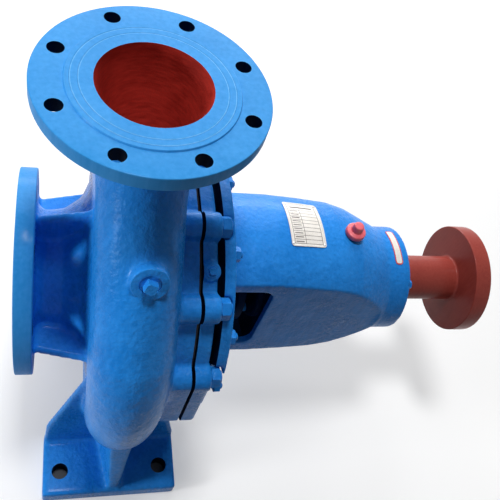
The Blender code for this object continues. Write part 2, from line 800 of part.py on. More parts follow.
def oil_chamber():
    """The space round the shaft between the two bearing seats, inside the bracket's walls."""
    low = LANTERN_END + END_WALL
    high = BEARING_2 - END_WALL
    places = [low] + [x for x, _ in bracket_outline() if low < x < high] + [high]
    walls = [(x, bracket_r(x) - BRACKET_WALL) for x in places]
    chamber = turned("oil_chamber", [(low, 0)] + walls + [(high, 0)])
    half = SIDE_FLAT - BRACKET_WALL
    slab = block("chamber_width", (low - OVERCUT, -half, -LANTERN_R), (high + OVERCUT, half, LANTERN_R))
    seat_end = BEARING_1 + BEARING_WIDTH + BEARING_SHOULDER
    seat = rod_x("bearing_seat", low - OVERCUT, seat_end, BEARING_COVER_R, steps=MID_ROUND)
    combine(chamber, "INTERSECT", [slab])
    combine(chamber, "DIFFERENCE", [seat])
    return chamber


def lantern_window(side):
    """The opening in one side of the lantern, with rounded corners at the bearing end."""
    start = BRACKET_BACK + WINDOW_SILL
    end = LANTERN_END - NICK
    low_z, high_z = WINDOW_BOTTOM, WINDOW_TOP
    centres = (
        (end - WINDOW_CORNER, high_z - WINDOW_CORNER, 0),
        (end - WINDOW_CORNER, low_z + WINDOW_CORNER, 90),
    )
    outline = [(start, low_z), (start, high_z)]
    for x, z, first in centres:
        for step in range(CORNER_STEPS + 1):
            turn = math.radians(first + 90 * step / CORNER_STEPS)
            outline.append((x + WINDOW_CORNER * math.sin(turn), z + WINDOW_CORNER * math.cos(turn)))
    inside = side * (SIDE_FLAT - SIDE_WALL - OVERCUT)
    points = [(x, inside, z) for x, z in outline]
    return prism(f"window_{side}", points, (0, side * (SIDE_WALL + 2 * OVERCUT), 0))


def make_bracket():
    spigot_face = COVER_BACK + TOUCH_GAP
    flange = [(spigot_face, 0), (spigot_face, SPIGOT_R), (BRACKET_FACE, SPIGOT_R), (BRACKET_FACE, RING_R)]
    end = [(BRACKET_END, BARREL_R - COVER_CHAMFER), (BRACKET_END, 0)]
    outline = flange + [(BRACKET_BACK, RING_R)] + bracket_outline() + end
    bracket = turned("bearing_bracket", outline, PARTS)
    cuts = []
    flat_start = BRACKET_BACK + LANTERN_FILLET
    for side in (-1, 1):
        low_y, high_y = sorted((side * SIDE_FLAT, side * RING_R))
        low, high = (flat_start, low_y, -RING_R), (BRACKET_BACK + FLAT_END, high_y, RING_R)
        cuts.append(block(f"side_flat_{side}", low, high))
        cuts.append(lantern_window(side))
    mouth_end = BRACKET_BACK + LANTERN_RELIEF
    cuts.append(rod_x("lantern_mouth", spigot_face - OVERCUT, mouth_end, LANTERN_CAVITY_R, steps=ROUND))
    lantern = rod_x("lantern_cavity", BRACKET_BACK - NICK, LANTERN_END, LANTERN_CAVITY_R, steps=ROUND)
    half = SIDE_FLAT - SIDE_WALL
    slab = block("lantern_width", (spigot_face, -half, -RING_R), (BEARING_2, half, RING_R))
    combine(lantern, "INTERSECT", [slab])
    cuts += [lantern, oil_chamber()]
    cuts.append(rod_x("bearing_bore", BEARING_1 - NICK, BRACKET_END + OVERCUT, BEARING_R, steps=MID_ROUND))
    way_r = SHAFT_BODY_R + SHAFT_WAY_GAP
    cuts.append(rod_x("shaft_way", LANTERN_END - OVERCUT, BEARING_1 + OVERCUT, way_r, steps=MID_ROUND))
    low, high = BRACKET_FACE - SINK, BRACKET_BACK + LANTERN_RELIEF
    for angle in around(STUDS, 180 / STUDS):
        y, z = on_circle(angle, STUD_CIRCLE_R)
        cuts.append(rod_x("nut_notch", low, high, NUT_CLEARANCE_R, y, z, steps=BOSS_ROUND))
    reach = STUD_CIRCLE_R * math.sin(math.radians(180 / STUDS))
    for side in (-1, 1):
        low_y, high_y = sorted((side * BRACKET_FLAT, side * (RING_R + OVERCUT)))
        cuts.append(block(f"flange_flat_{side}", (low, low_y, -RING_R), (high, high_y, reach)))
    for angle in around(BRACKET_STUDS, 180 / BRACKET_STUDS):
        y, z = on_circle(angle, BRACKET_STUD_CIRCLE)
        cuts.append(rod_x("bracket_hole", low, high, BRACKET_STUD_HOLE_R, y, z, steps=HOLE_ROUND))
    for name, along, side in (("oil_hole", OIL_PLUG_AT, 1), ("oil_drain_hole", OIL_DRAIN_AT, -1)):
        x = BRACKET_BACK + along
        low, high = (x, 0, side * BEARING_R / 2), (x, 0, side * (LANTERN_R + OVERCUT))
        cuts.append(rod(name, low, high, OIL_THREAD_R + TOUCH_GAP))
    combine(bracket, "DIFFERENCE", cuts)
    return finish(bracket, BLUE, 0.35)


def make_bearings():
    for name, low in (("bearing_pump_end", BEARING_1), ("bearing_drive_end", BEARING_2)):
        high = low + BEARING_WIDTH
        inner = BEARING_SEAT_R + TOUCH_GAP
        outer = BEARING_R - TOUCH_GAP
        outline = [(low, inner), (low, outer), (high, outer), (high, inner)]
        finish(turned(name, outline, PARTS, MID_ROUND), STEEL, 0.3, 0.9)


def make_bearing_covers():
    inner = SLEEVE_SEAT_R + SHAFT_GAP
    high = LANTERN_END - TOUCH_GAP
    low = high - BEARING_COVER_THICK
    outline = [
        (low, inner),
        (low, BEARING_COVER_R - COVER_CHAMFER),
        (low + COVER_CHAMFER, BEARING_COVER_R),
        (high, BEARING_COVER_R),
        (high, inner),
    ]
    finish(turned("inner_bearing_cover", outline, PARTS, MID_ROUND), BLUE, 0.4)
    inner = COUPLING_SEAT_R + SHAFT_GAP
    nose = BEARING_2 + BEARING_WIDTH + TOUCH_GAP
    low = BRACKET_END + TOUCH_GAP
    high = low + BEARING_COVER_THICK
    outline = [
        (nose, inner),
        (nose, BEARING_R - TOUCH_GAP),
        (low, BEARING_R - TOUCH_GAP),
        (low, BEARING_COVER_R),
        (high - COVER_CHAMFER, BEARING_COVER_R),
        (high, BEARING_COVER_R - COVER_CHAMFER),
        (high, inner),
    ]
    finish(turned("outer_bearing_cover", outline, PARTS, MID_ROUND), BLUE, 0.4)


def plate_on_bracket(name, low, high, first, last):
    """A thin plate bent over the bracket's back between two angles from the top."""
    gap = 2 * TOUCH_GAP
    under = [(x, bracket_r(x) + gap) for x in (low, (low + high) / 2, high)]
    plate = turned(name, under, PARTS, steps=PLATE_STEPS, angle=last - first, start=first)
    sheet = plate.modifiers.new("thickness", "SOLIDIFY")
    sheet.thickness = SHEET_THICK
    sheet.offset = -1
    finish(plate, CREAM, 0.4)


def make_plates():
    low = BRACKET_BACK + NAMEPLATE_AT
    plate_on_bracket("nameplate", low, low + NAMEPLATE_WIDTH, NAMEPLATE_FROM, NAMEPLATE_TO)
    low = BARREL_START + LABEL_AT
    plate_on_bracket("label_strip", low, low + LABEL_WIDTH, LABEL_FROM, LABEL_TO)


def plug(name, place, thread, thread_r, flange_r, head, colour):
    """A threaded plug with a flange and a square head, seated on a flat face at its place."""
    seat, out = place
    seat = seat + out * TOUCH_GAP
    made = rod(name, seat - out * thread, seat + out * head * PLUG_ROOT, thread_r, PARTS)
    flange = rod(f"{name}_flange", seat, seat + out * head * PLUG_FLANGE, flange_r)
    square_r = flange_r * PLUG_SQUARE
    square = rod(f"{name}_square", seat + out * head * PLUG_ROOT, seat + out * head, square_r, steps=4)
    combine(made, "UNION", [flange, square])
    finish(made, colour, 0.4)


def make_plugs():
    up = Vector((0, 0, 1))
    x = BRACKET_BACK + OIL_PLUG_AT
    top = Vector((x, 0, bracket_r(x - OIL_PLUG_R)))
    plug("oil_filler_plug", (top, up), OIL_PLUG_THREAD, OIL_THREAD_R, OIL_PLUG_R, OIL_PLUG_HEAD, RED)
    x = BRACKET_BACK + OIL_DRAIN_AT
    bottom = Vector((x, 0, -bracket_r(x - OIL_PLUG_R)))
    plug("oil_drain_plug", (bottom, -up), OIL_DRAIN_THREAD, OIL_THREAD_R, OIL_PLUG_R, OIL_DRAIN_HEAD, BLUE)
    for name, place, thread_r, collar, head in (
        ("gauge_plug", gauge_place(), PIPE_THREAD_R, PLUG_COLLAR, GAUGE_PLUG_HEAD),
        ("casing_drain_plug", drain_place(), PIPE_THREAD_R, DRAIN_PLUG_COLLAR, DRAIN_PLUG_HEAD),
        ("flushing_plug", flush_place(), FLUSH_THREAD_R, PLUG_COLLAR, FLUSH_PLUG_HEAD),
    ):
        plug(name, place, PIPE_THREAD, thread_r, thread_r + collar, head, BLUE)


def make_shaft():
    shaft = turned(
        "shaft",
        [
            (IMPELLER_FRONT - NUT_LENGTH - SHAFT_PAST_NUT, 0),
            (IMPELLER_FRONT - NUT_LENGTH - SHAFT_PAST_NUT, SHAFT_TIP_R),
            (IMPELLER_FRONT, SHAFT_TIP_R),
            (IMPELLER_FRONT, IMPELLER_SEAT_R),
            (IMPELLER_BACK, IMPELLER_SEAT_R),
            (IMPELLER_BACK, SLEEVE_SEAT_R),
            (BEARING_1 - SEAT_LEAD, SLEEVE_SEAT_R),
            (BEARING_1 - SEAT_LEAD, BEARING_SEAT_R),
            (BEARING_1 + BEARING_WIDTH, BEARING_SEAT_R),
            (BEARING_1 + BEARING_WIDTH, SHAFT_BODY_R),
            (BEARING_2, SHAFT_BODY_R),
            (BEARING_2, BEARING_SEAT_R),
            (BEARING_2 + BEARING_WIDTH, BEARING_SEAT_R),
            (BEARING_2 + BEARING_WIDTH, COUPLING_SEAT_R),
            (SHAFT_END - SHAFT_CHAMFER, COUPLING_SEAT_R),
            (SHAFT_END, COUPLING_SEAT_R - SHAFT_CHAMFER),
            (SHAFT_END, 0),
        ],
        PARTS,
        MID_ROUND,
    )
    half = KEY_WIDTH / 2
    low = COUPLING_SEAT_R - KEY_HEIGHT / 2
    start = SHAFT_END - KEY_LENGTH
    slot = block("shaft_keyway", (start, -half, low), (SHAFT_END + OVERCUT, half, low + KEY_HEIGHT + OVERCUT))
    combine(shaft, "DIFFERENCE", [slot])
    finish(shaft, STEEL, 0.3, 0.9)
    near = (start + TOUCH_GAP, -half + TOUCH_GAP, low + TOUCH_GAP)
    far = (SHAFT_END - KEY_SETBACK, half - TOUCH_GAP, low + KEY_HEIGHT - TOUCH_GAP)
    finish(block("coupling_key", near, far, PARTS), STEEL, 0.4, 0.9)


def make_sleeve():
    low = IMPELLER_BACK + TOUCH_GAP
    high = BOX_END + SLEEVE_PAST_BOX
    inner = SLEEVE_SEAT_R + TOUCH_GAP
    outline = [(low, inner), (low, SLEEVE_R), (high, SLEEVE_R), (high, inner)]
    finish(turned("shaft_sleeve", outline, PARTS, MID_ROUND), STEEL, 0.25, 0.9)


def vane(start):
    """One backward-curved vane from the hub to the rim."""
    left, right = [], []
    for i in range(VANE_STEPS + 1):
        share = i / VANE_STEPS
        radius = VANE_IN_R + (IMPELLER_R - RUN_GAP - VANE_IN_R) * share
        turn = start + VANE_WRAP * share**VANE_BEND
        half = math.degrees(VANE_THICK / 2 / radius) * (VANE_ROOT + (1 - VANE_ROOT) * share)
        left.append(on_circle(turn - half, radius))
        right.append(on_circle(turn + half, radius))
    low = FRONT_SHROUD + SHROUD_THICK / 2
    points = [(low, *place) for place in left + right[::-1]]
    return prism(f"vane_{int(start)}", points, (SHROUD_SPACING, 0, 0))


def make_impeller():
    inner = IMPELLER_SEAT_R + TOUCH_GAP
    sweep = [(BACK_SHROUD + along, IMPELLER_HUB_R + out) for along, out in HUB_SWEEP]
    impeller = turned(
        "impeller",
        [
            (IMPELLER_FRONT + TOUCH_GAP, inner),
            (IMPELLER_FRONT + TOUCH_GAP, IMPELLER_SEAT_R + IMPELLER_NOSE),
            *sweep,
            (BACK_SHROUD, IMPELLER_R),
            (BACK_SHROUD + SHROUD_THICK, IMPELLER_R),
            (BACK_SHROUD + SHROUD_THICK, IMPELLER_HUB_R + HUB_TAPER),
            (IMPELLER_BACK - TOUCH_GAP, IMPELLER_HUB_R),
            (IMPELLER_BACK - TOUCH_GAP, inner),
        ],
        PARTS,
        MID_ROUND,
    )
    mouth = WEAR_RING_START + RUNNING_CLEARANCE
    front = turned(
        "front_shroud",
        [
            (mouth, EYE_R - EYE_WALL),
            (mouth, EYE_R),
            (FRONT_SHROUD - EYE_SWEEP, EYE_R),
            (FRONT_SHROUD, EYE_R + EYE_SWEEP),
            (FRONT_SHROUD, IMPELLER_R),
            (FRONT_SHROUD + SHROUD_THICK, IMPELLER_R),
            (FRONT_SHROUD + SHROUD_THICK, EYE_R),
            (FRONT_SHROUD, EYE_R - SHROUD_THICK),
        ],
        steps=MID_ROUND,
    )
    combine(impeller, "UNION", [vane(angle) for angle in around(VANES)] + [front])
    finish(impeller, CAST, 0.5, 0.6)


def make_impeller_nut():
    high = IMPELLER_FRONT - TOUCH_GAP
    low = IMPELLER_FRONT - NUT_LENGTH
    chamfer = [(low, NUT_R - NUT_CHAMFER_DEPTH), (low + NUT_CHAMFER, NUT_R)]
    nut = turned("impeller_nut", [(low, 0), *chamfer, (high, NUT_R), (high, 0)], PARTS, 6)
    bore = rod_x("nut_bore", low - OVERCUT, high + OVERCUT, SHAFT_TIP_R + TOUCH_GAP, steps=MID_ROUND)
    combine(nut, "DIFFERENCE", [bore])
    finish(nut, STEEL, 0.35, 0.9)


def make_coupling():
    inner = COUPLING_SEAT_R + TOUCH_GAP
    low = COUPLING_FACE - COUPLING_THICK
    coupling = turned(
        "coupling_half",
        [
            (HUB_START, inner),
            (HUB_START, HUB_R - HUB_CHAMFER),
            (HUB_START + HUB_CHAMFER, HUB_R),
            (low - HUB_FILLET, HUB_R),
            (low, HUB_R + HUB_FILLET),
            (low, COUPLING_R - SHAFT_CHAMFER),
            (low + SHAFT_CHAMFER, COUPLING_R),
            (COUPLING_FACE - SHAFT_CHAMFER, COUPLING_R),
            (COUPLING_FACE, COUPLING_R - SHAFT_CHAMFER),
            (COUPLING_FACE, inner),
        ],
        PARTS,
    )
    half = KEY_WIDTH / 2 + TOUCH_GAP
    top = COUPLING_SEAT_R + KEY_HEIGHT / 2 + TOUCH_GAP
    slot = block("hub_keyway", (HUB_START - OVERCUT, -half, 0), (COUPLING_FACE + OVERCUT, half, top))
    combine(coupling, "DIFFERENCE", [slot])
    finish(coupling, OXIDE, 0.45)


def stand_pump():
    """Puts the origin on the floor, under the middle of the whole pump's box."""
    widest = 0.0
    for i in range(SPIRAL_STEPS + 1):
        centre, out, size, _ = spiral_section(i / SPIRAL_STEPS)
        widest = max(widest, -(centre + out * size).y)
    middle = (SUCTION_FACE + COUPLING_FACE) / 2
    pump_frame.location = (-middle, (widest - FOOT_OUTER_Y) / 2, SHAFT_HEIGHT)


make_casing()
make_wear_ring()
make_gasket()
make_cover()
make_packing()
make_gland()
make_bracket()
make_bearings()
make_bearing_covers()
make_plates()
make_plugs()
make_shaft()
make_sleeve()
make_impeller()
make_impeller_nut()
make_coupling()
stand_pump()
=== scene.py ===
# %% [markdown]
# # Dressing a centrifugal pump
#
# The pump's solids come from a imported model, the frame. It holds plain shapes at their real size,
# and nothing here moves or resizes them. This script gives every surface its finish, makes the
# cast pieces again with the soft edges of a real casting, and adds the small things that a pump
# has, such as studs and nuts. All lengths are metres.

# %% Load the frame
import math

import bpy
from mathutils import Matrix, Vector


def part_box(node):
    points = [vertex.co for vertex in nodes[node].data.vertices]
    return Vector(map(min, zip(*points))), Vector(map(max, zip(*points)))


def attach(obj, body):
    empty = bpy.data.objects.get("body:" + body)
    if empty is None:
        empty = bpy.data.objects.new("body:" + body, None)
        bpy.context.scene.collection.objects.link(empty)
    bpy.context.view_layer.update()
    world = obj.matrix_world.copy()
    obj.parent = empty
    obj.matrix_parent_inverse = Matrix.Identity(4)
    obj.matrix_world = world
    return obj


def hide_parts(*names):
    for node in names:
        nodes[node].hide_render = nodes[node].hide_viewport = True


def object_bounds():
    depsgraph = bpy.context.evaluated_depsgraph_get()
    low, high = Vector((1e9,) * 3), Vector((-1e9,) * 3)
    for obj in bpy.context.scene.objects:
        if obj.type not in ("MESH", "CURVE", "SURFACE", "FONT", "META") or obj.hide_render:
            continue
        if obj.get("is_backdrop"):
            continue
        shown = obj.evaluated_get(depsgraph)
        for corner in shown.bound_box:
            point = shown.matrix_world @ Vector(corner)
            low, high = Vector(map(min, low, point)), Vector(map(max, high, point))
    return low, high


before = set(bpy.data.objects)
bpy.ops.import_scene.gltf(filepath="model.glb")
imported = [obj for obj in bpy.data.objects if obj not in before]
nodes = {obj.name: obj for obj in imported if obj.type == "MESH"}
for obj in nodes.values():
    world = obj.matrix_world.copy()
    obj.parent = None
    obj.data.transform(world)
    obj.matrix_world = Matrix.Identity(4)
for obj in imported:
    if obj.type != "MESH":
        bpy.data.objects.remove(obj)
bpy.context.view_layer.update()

scene = bpy.context.scene

# %% [markdown]
# ## Camera
#
# A photograph fixes its camera: the ellipses that round flanges make in it say where the camera
# stood and how long its lens was. The camera below stands in that place. Its three axes are
# written as the rows of a turn from the world to the picture, because that is how a fitted camera
# is usually given; a Blender camera looks along its own -Z with +Y up, so two of them change sign.

# %% Camera at the photograph's view
CAMERA_PLACE = Vector((-0.2983, -0.51048, 1.09972))
PICTURE_RIGHT = Vector((0.9596, -0.1349, 0.2470))
PICTURE_DOWN = Vector((0.0268, -0.8300, -0.5571))
CAMERA_LENS = 48.607
CAMERA_SENSOR = 36.0
CAMERA_REACH = 60.0

right = PICTURE_RIGHT.normalized()
down = (PICTURE_DOWN - right * PICTURE_DOWN.dot(right)).normalized()
ahead = right.cross(down)
camera = bpy.data.objects.new("camera", bpy.data.cameras.new("camera"))
scene.collection.objects.link(camera)
camera.data.lens = CAMERA_LENS
camera.data.sensor_width = CAMERA_SENSOR
camera.data.clip_end = CAMERA_REACH
turn = Matrix((right, -down, -ahead)).transposed().to_4x4()
camera.matrix_world = Matrix.Translation(CAMERA_PLACE) @ turn
scene.camera = camera
print("camera looks along", [round(value, 3) for value in ahead])

# %% [markdown]
# ## Nodes
#
# A material is a tree of nodes joined by links, and the world's light is one too. The helpers
# below add a node, join two of them, and reckon with the numbers that pass between them.

# %% Nodes and links
def new_material(name, roughness, metallic=0.0, **sockets):
    """A material with a Principled shader; plain numbers go on the shader's own sockets."""
    made = bpy.data.materials.new(name)
    made.use_nodes = True
    shader = made.node_tree.nodes["Principled BSDF"]
    shader.inputs["Roughness"].default_value = roughness
    shader.inputs["Metallic"].default_value = metallic
    for socket, value in sockets.items():
        shader.inputs[socket.replace("_", " ")].default_value = value
    return made


def node(owner, kind, **values):
    """A node with its settings; a name that is no setting is taken for a socket."""
    made = owner.node_tree.nodes.new(kind)
    for name, value in values.items():
        if hasattr(made, name):
            setattr(made, name, value)
        else:
            made.inputs[name.replace("_", " ")].default_value = value
    return made


def wire(owner, source, target):
    """Links a socket, or writes a number or colour on the target."""
    if isinstance(source, (int, float)):
        target.default_value = source
    elif isinstance(source, tuple):
        target.default_value = (*source, 1)
    else:
        owner.node_tree.links.new(source, target)


def band(owner, value, low, high, start=0.0, end=1.0):
    """Turns a range of a value into another range, clamped."""
    made = node(
        owner, "ShaderNodeMapRange", clamp=True,
        From_Min=low, From_Max=high, To_Min=start, To_Max=end)
    wire(owner, value, made.inputs["Value"])
    return made.outputs["Result"]


def combine(owner, first, second, operation="MULTIPLY"):
    made = node(owner, "ShaderNodeMath", operation=operation)
    wire(owner, first, made.inputs[0])
    wire(owner, second, made.inputs[1])
    return made.outputs["Value"]


# %% [markdown]
# ## Floor and light
#
# A product photograph has a white ground and broad light from overhead and behind. The floor is a
# plain disc far larger than the pump. To the camera, to mirrors and to glass it shows white,
# through Light Path, and it still takes the pump's shadow. To soft bounced light it is a mid grey,
# because a white floor would brighten the pump's sides and make every form look flat. Far from the
# pump, where no shadow falls, it turns into an even white that meets the backdrop unseen.

# %% Building blocks for the studio
def shown_rays(owner):
    """1 for rays that show the background itself, and 0 for soft bounced light."""
    rays = node(owner, "ShaderNodeLightPath").outputs
    total = rays["Is Camera Ray"]
    for name in ("Is Glossy Ray", "Is Transmission Ray"):
        total = combine(owner, total, rays[name], "MAXIMUM")
    return total


def flat_disc(name, radius, place, sides, material):
    """A disc that lies flat and has one material."""
    bpy.ops.object.select_all(action="DESELECT")
    bpy.ops.mesh.primitive_circle_add(
        vertices=sides, radius=radius, fill_type="NGON", location=place)
    disc = bpy.context.object
    disc.name = name
    disc.data.materials.append(material)
    return disc


# %% White floor and world
FLOOR_R = 12.0
FLOOR_BOUNCE = 0.25
FLOOR_SHOWN = 0.64
FLOOR_GLOW = 0.30
FLOOR_NEAR, FLOOR_FAR = 0.9, 2.0
WORLD_LIGHT = 0.14


def floor_white():
    """White to the camera and darker to bounced light, with its shadows fading out far away."""
    made = new_material("studio_floor", 0.9, Emission_Color=(1, 1, 1, 1))
    shader = made.node_tree.nodes["Principled BSDF"]
    shown = shown_rays(made)
    place = node(made, "ShaderNodeTexCoord")
    length = node(made, "ShaderNodeVectorMath", operation="LENGTH")
    wire(made, place.outputs["Object"], length.inputs[0])
    away = length.outputs["Value"]
    near = band(made, away, FLOOR_NEAR, FLOOR_FAR, 1.0, 0.0)
    glow = band(made, away, FLOOR_NEAR, FLOOR_FAR, FLOOR_GLOW, 1.0)
    grey = band(made, shown, 0.0, 1.0, FLOOR_BOUNCE, FLOOR_SHOWN)
    wire(made, combine(made, grey, near), shader.inputs["Base Color"])
    wire(made, combine(made, shown, glow), shader.inputs["Emission Strength"])
    return made


floor = flat_disc("studio_floor", FLOOR_R, (0, 0, 0), 96, floor_white())
floor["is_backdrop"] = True
world = bpy.data.worlds.new("studio")
scene.world = world
world.use_nodes = True
background = world.node_tree.nodes["Background"]
background.inputs["Color"].default_value = (1, 1, 1, 1)
strength = band(world, shown_rays(world), 0.0, 1.0, WORLD_LIGHT, 1.0)
wire(world, strength, background.inputs["Strength"])
scene.view_settings.view_transform = "Standard"
print("floor across:", round(floor.dimensions.x, 1))

# %% [markdown]
# Four soft lamps light the pump: one above, two wide ones behind it, which lay a sheen on the
# upper sides, and one at the left, which draws a bright line down the volute. A small lamp gives
# a short bright glint, and a wide one a long soft one.

# %% Lamps
def area_lamp(name, place, target, size, power, height=None):
    """A round lamp, or a rectangle where a height is given, which faces its target."""
    data = bpy.data.lights.new(name, "AREA")
    data.shape = "RECTANGLE" if height else "DISK"
    data.size = size
    if height:
        data.size_y = height
    data.energy = power
    lamp = bpy.data.objects.new(name, data)
    scene.collection.objects.link(lamp)
    lamp.location = place
    way = Vector(target) - Vector(place)
    lamp.rotation_euler = way.to_track_quat("-Z", "Y").to_euler()
    return lamp


area_lamp("top_lamp", (-0.22, 0.16, 2.8), (-0.2, 0, 0.3), 0.5, 37)
area_lamp("back_lamp", (0.15, 2.2, 2.3), (-0.05, 0, 0.4), 2.2, 46, 1.8)
area_lamp("low_back_lamp", (0.30, 3.0, 0.95), (-0.05, 0, 0.4), 2.4, 54, 0.8)
area_lamp("left_lamp", (-2.4, -0.5, 0.85), (-0.2, -0.15, 0.4), 0.5, 34)

# %% [markdown]
# ## Where the pump stands
#
# A pump is drawn round its own shaft, so every place below is counted along the shaft from the
# centreline of the discharge branch, across it, and up from it. The frame says where the shaft
# lies in the world, and each finished piece is moved there once, inside its mesh, so that its
# object stays at the origin.

# %% The pump's own axes
SUCTION_FACE = -0.140
shaft_low, shaft_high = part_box("shaft")
PUMP_AT = Vector((
    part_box("volute_casing")[0].x - SUCTION_FACE,
    (shaft_low.y + shaft_high.y) / 2,
    (shaft_low.z + shaft_high.z) / 2,
))


def round_the_shaft(angle, radius):
    """(across, up) at an angle in degrees from the top, which grows towards the near side."""
    turn = math.radians(angle)
    return -radius * math.sin(turn), radius * math.cos(turn)


def angles(count, first=0.0):
    """Evenly spaced angles round a circle, in degrees."""
    return [first + 360 * i / count for i in range(count)]


print("the shaft crosses the discharge centreline at", [round(value, 4) for value in PUMP_AT])

# %% [markdown]
# ## A lathe, a sweep and a stock of simple solids
#
# Most pump parts are round. A lathe cuts them from an outline, and Spin does the same: one vertex
# is extruded along half of a section, and the line is spun round the shaft. Corners of the outline
# are rounded first, because no real edge is sharp and a rounded one catches the light.

# %% Helpers for selecting and closing
MERGE = 0.00001
ROUND_STEPS = 4
SWEEP_SIDES = 64


def pick(*things):
    """Selects these objects only, and makes the first one active."""
    bpy.ops.object.select_all(action="DESELECT")
    for thing in things:
        thing.select_set(True)
    if things:
        bpy.context.view_layer.objects.active = things[0]


def new_piece(name):
    """Names what a primitive operator has just added."""
    thing = bpy.context.object
    thing.name = name
    return thing


def face_outwards():
    """Turns every face of the mesh in edit mode outwards, and leaves edit mode."""
    bpy.ops.mesh.select_all(action="SELECT")
    bpy.ops.mesh.normals_make_consistent(inside=False)
    bpy.ops.object.mode_set(mode="OBJECT")


def painted(thing, paint):
    """Gives a new piece its material, where one is named."""
    if paint:
        thing.data.materials.append(paint)
    return thing


# %% Lathe
def rounded(outline):
    """Rounds each corner that has a third value, its radius, into a short arc."""
    points = []
    for i, corner in enumerate(outline):
        here = Vector(corner[:2])
        if len(corner) < 3:
            points.append(here)
            continue
        before = (Vector(outline[i - 1][:2]) - here).normalized()
        after = (Vector(outline[(i + 1) % len(outline)][:2]) - here).normalized()
        reach = corner[2] / math.tan(before.angle(after) / 2)
        start, end = here + before * reach, here + after * reach
        for step in range(ROUND_STEPS + 1):
            share = step / ROUND_STEPS
            rest = 1 - share
            points.append(start * rest ** 2 + here * 2 * share * rest + end * share ** 2)
    return points


def draw_line(name, points):
    """Extrudes one vertex along a row of points, in edit mode."""
    pick()
    bpy.ops.mesh.primitive_plane_add(size=0.01)
    thing = new_piece(name)
    bpy.ops.object.mode_set(mode="EDIT")
    bpy.ops.mesh.merge(type="CENTER")
    bpy.ops.transform.translate(value=points[0])
    for here, there in zip(points, points[1:]):
        bpy.ops.mesh.extrude_vertices_move(TRANSFORM_OT_translate={"value": there - here})
    return thing


def turned(name, outline, steps=96, paint=None):
    """Spins an outline of (along, radius) points, with rounded corners, round the shaft line."""
    points = [Vector((along, 0, radius)) for along, radius in rounded(outline)]
    if points[0].z or points[-1].z:
        points.append(points[0])
    thing = draw_line(name, points)
    bpy.ops.mesh.select_all(action="SELECT")
    bpy.ops.mesh.spin(steps=steps, angle=2 * math.pi, center=(0, 0, 0), axis=(1, 0, 0))
    bpy.ops.mesh.select_all(action="SELECT")
    bpy.ops.mesh.remove_doubles(threshold=MERGE)
    bpy.ops.mesh.delete_loose()
    face_outwards()
    return painted(thing, paint)


# %% [markdown]
# A plate or rib is a flat outline pushed to its thickness. A stud is a lathe piece that is turned
# to point elsewhere. A water way is a ring that is extruded along its path, and turned and resized
# at each step.

# %% Plates and rods
def slab(name, outline, push):
    """Fills a closed outline of points and extrudes it by a vector."""
    points = [Vector(point) for point in outline]
    thing = draw_line(name, points + points[:1])
    bpy.ops.mesh.select_all(action="SELECT")
    bpy.ops.mesh.remove_doubles(threshold=MERGE)
    bpy.ops.mesh.edge_face_add()
    bpy.ops.mesh.extrude_region_move(TRANSFORM_OT_translate={"value": push})
    face_outwards()
    return thing


def block(name, low, high, paint=None):
    """A box between two corners."""
    low, high = Vector(low), Vector(high)
    pick()
    bpy.ops.mesh.primitive_cube_add(size=1, location=(low + high) / 2, scale=high - low)
    thing = new_piece(name)
    bpy.ops.object.transform_apply(location=True, rotation=True, scale=True)
    return painted(thing, paint)


def side_block(name, side, along, across, up):
    """A box on one side of the shaft; each range is two numbers, and across is mirrored."""
    near, far = sorted((side * across[0], side * across[1]))
    return block(name, (along[0], near, up[0]), (along[1], far, up[1]))


def point_along(thing, place, direction):
    """Moves a lathe piece so that its line starts at a place and runs along a direction."""
    turn = Vector((1, 0, 0)).rotation_difference(Vector(direction)).to_matrix().to_4x4()
    thing.data.transform(Matrix.Translation(place) @ turn)
    return thing


def rod(name, start, end, radius, steps=48, edge=0.0, paint=None):
    """A round bar between two points, with its ends' edges rounded."""
    start, end = Vector(start), Vector(end)
    length = (end - start).length
    corner = (radius, edge) if edge else (radius,)
    outline = [(0, 0), (0, *corner), (length, *corner), (length, 0)]
    return point_along(turned(name, outline, steps, paint), start, end - start)


# %% Sweep
def swept(name, sections, paint=None):
    """Extrudes a ring through (centre, angle, size across, width along the shaft) sections."""
    centre, angle, size, width = sections[0]
    pick()
    bpy.ops.mesh.primitive_circle_add(
        vertices=SWEEP_SIDES, radius=1, fill_type="NGON", location=centre,
        rotation=(math.pi / 2 + angle, 0, 0))
    thing = new_piece(name)
    thing.scale = (width, size, size)
    bpy.ops.object.transform_apply(location=True, rotation=True, scale=True)
    bpy.ops.object.mode_set(mode="EDIT")
    bpy.ops.mesh.select_all(action="SELECT")
    for here, there in zip(sections, sections[1:]):
        bpy.ops.mesh.extrude_region_move(TRANSFORM_OT_translate={"value": there[0] - here[0]})
        bpy.ops.transform.rotate(
            value=here[1] - there[1], orient_axis="X", center_override=there[0])
        across, along = there[2] / here[2], there[3] / here[3]
        bpy.ops.transform.resize(value=(along, across, across), center_override=there[0])
    face_outwards()
    return painted(thing, paint)


# %% [markdown]
# ## Casting and machining
#
# A casting is poured as one piece: where a rib meets a wall the metal fills the corner. Voxel
# Remesh gives just that. The edges of the overlapping shapes are broken first, Remesh melts the
# shapes into one skin, and Smooth then rounds every corner by a few millimetres. Machined faces
# and holes come after it, as they do in a workshop: Booleans cut them, so their edges stay crisp
# against the soft skin.

# %% Casting
BROKEN_ABOVE = 40
SOFTENING = 6


def apply(thing, modifier):
    """Applies a modifier."""
    pick(thing)
    bpy.ops.object.modifier_apply(modifier=modifier.name)


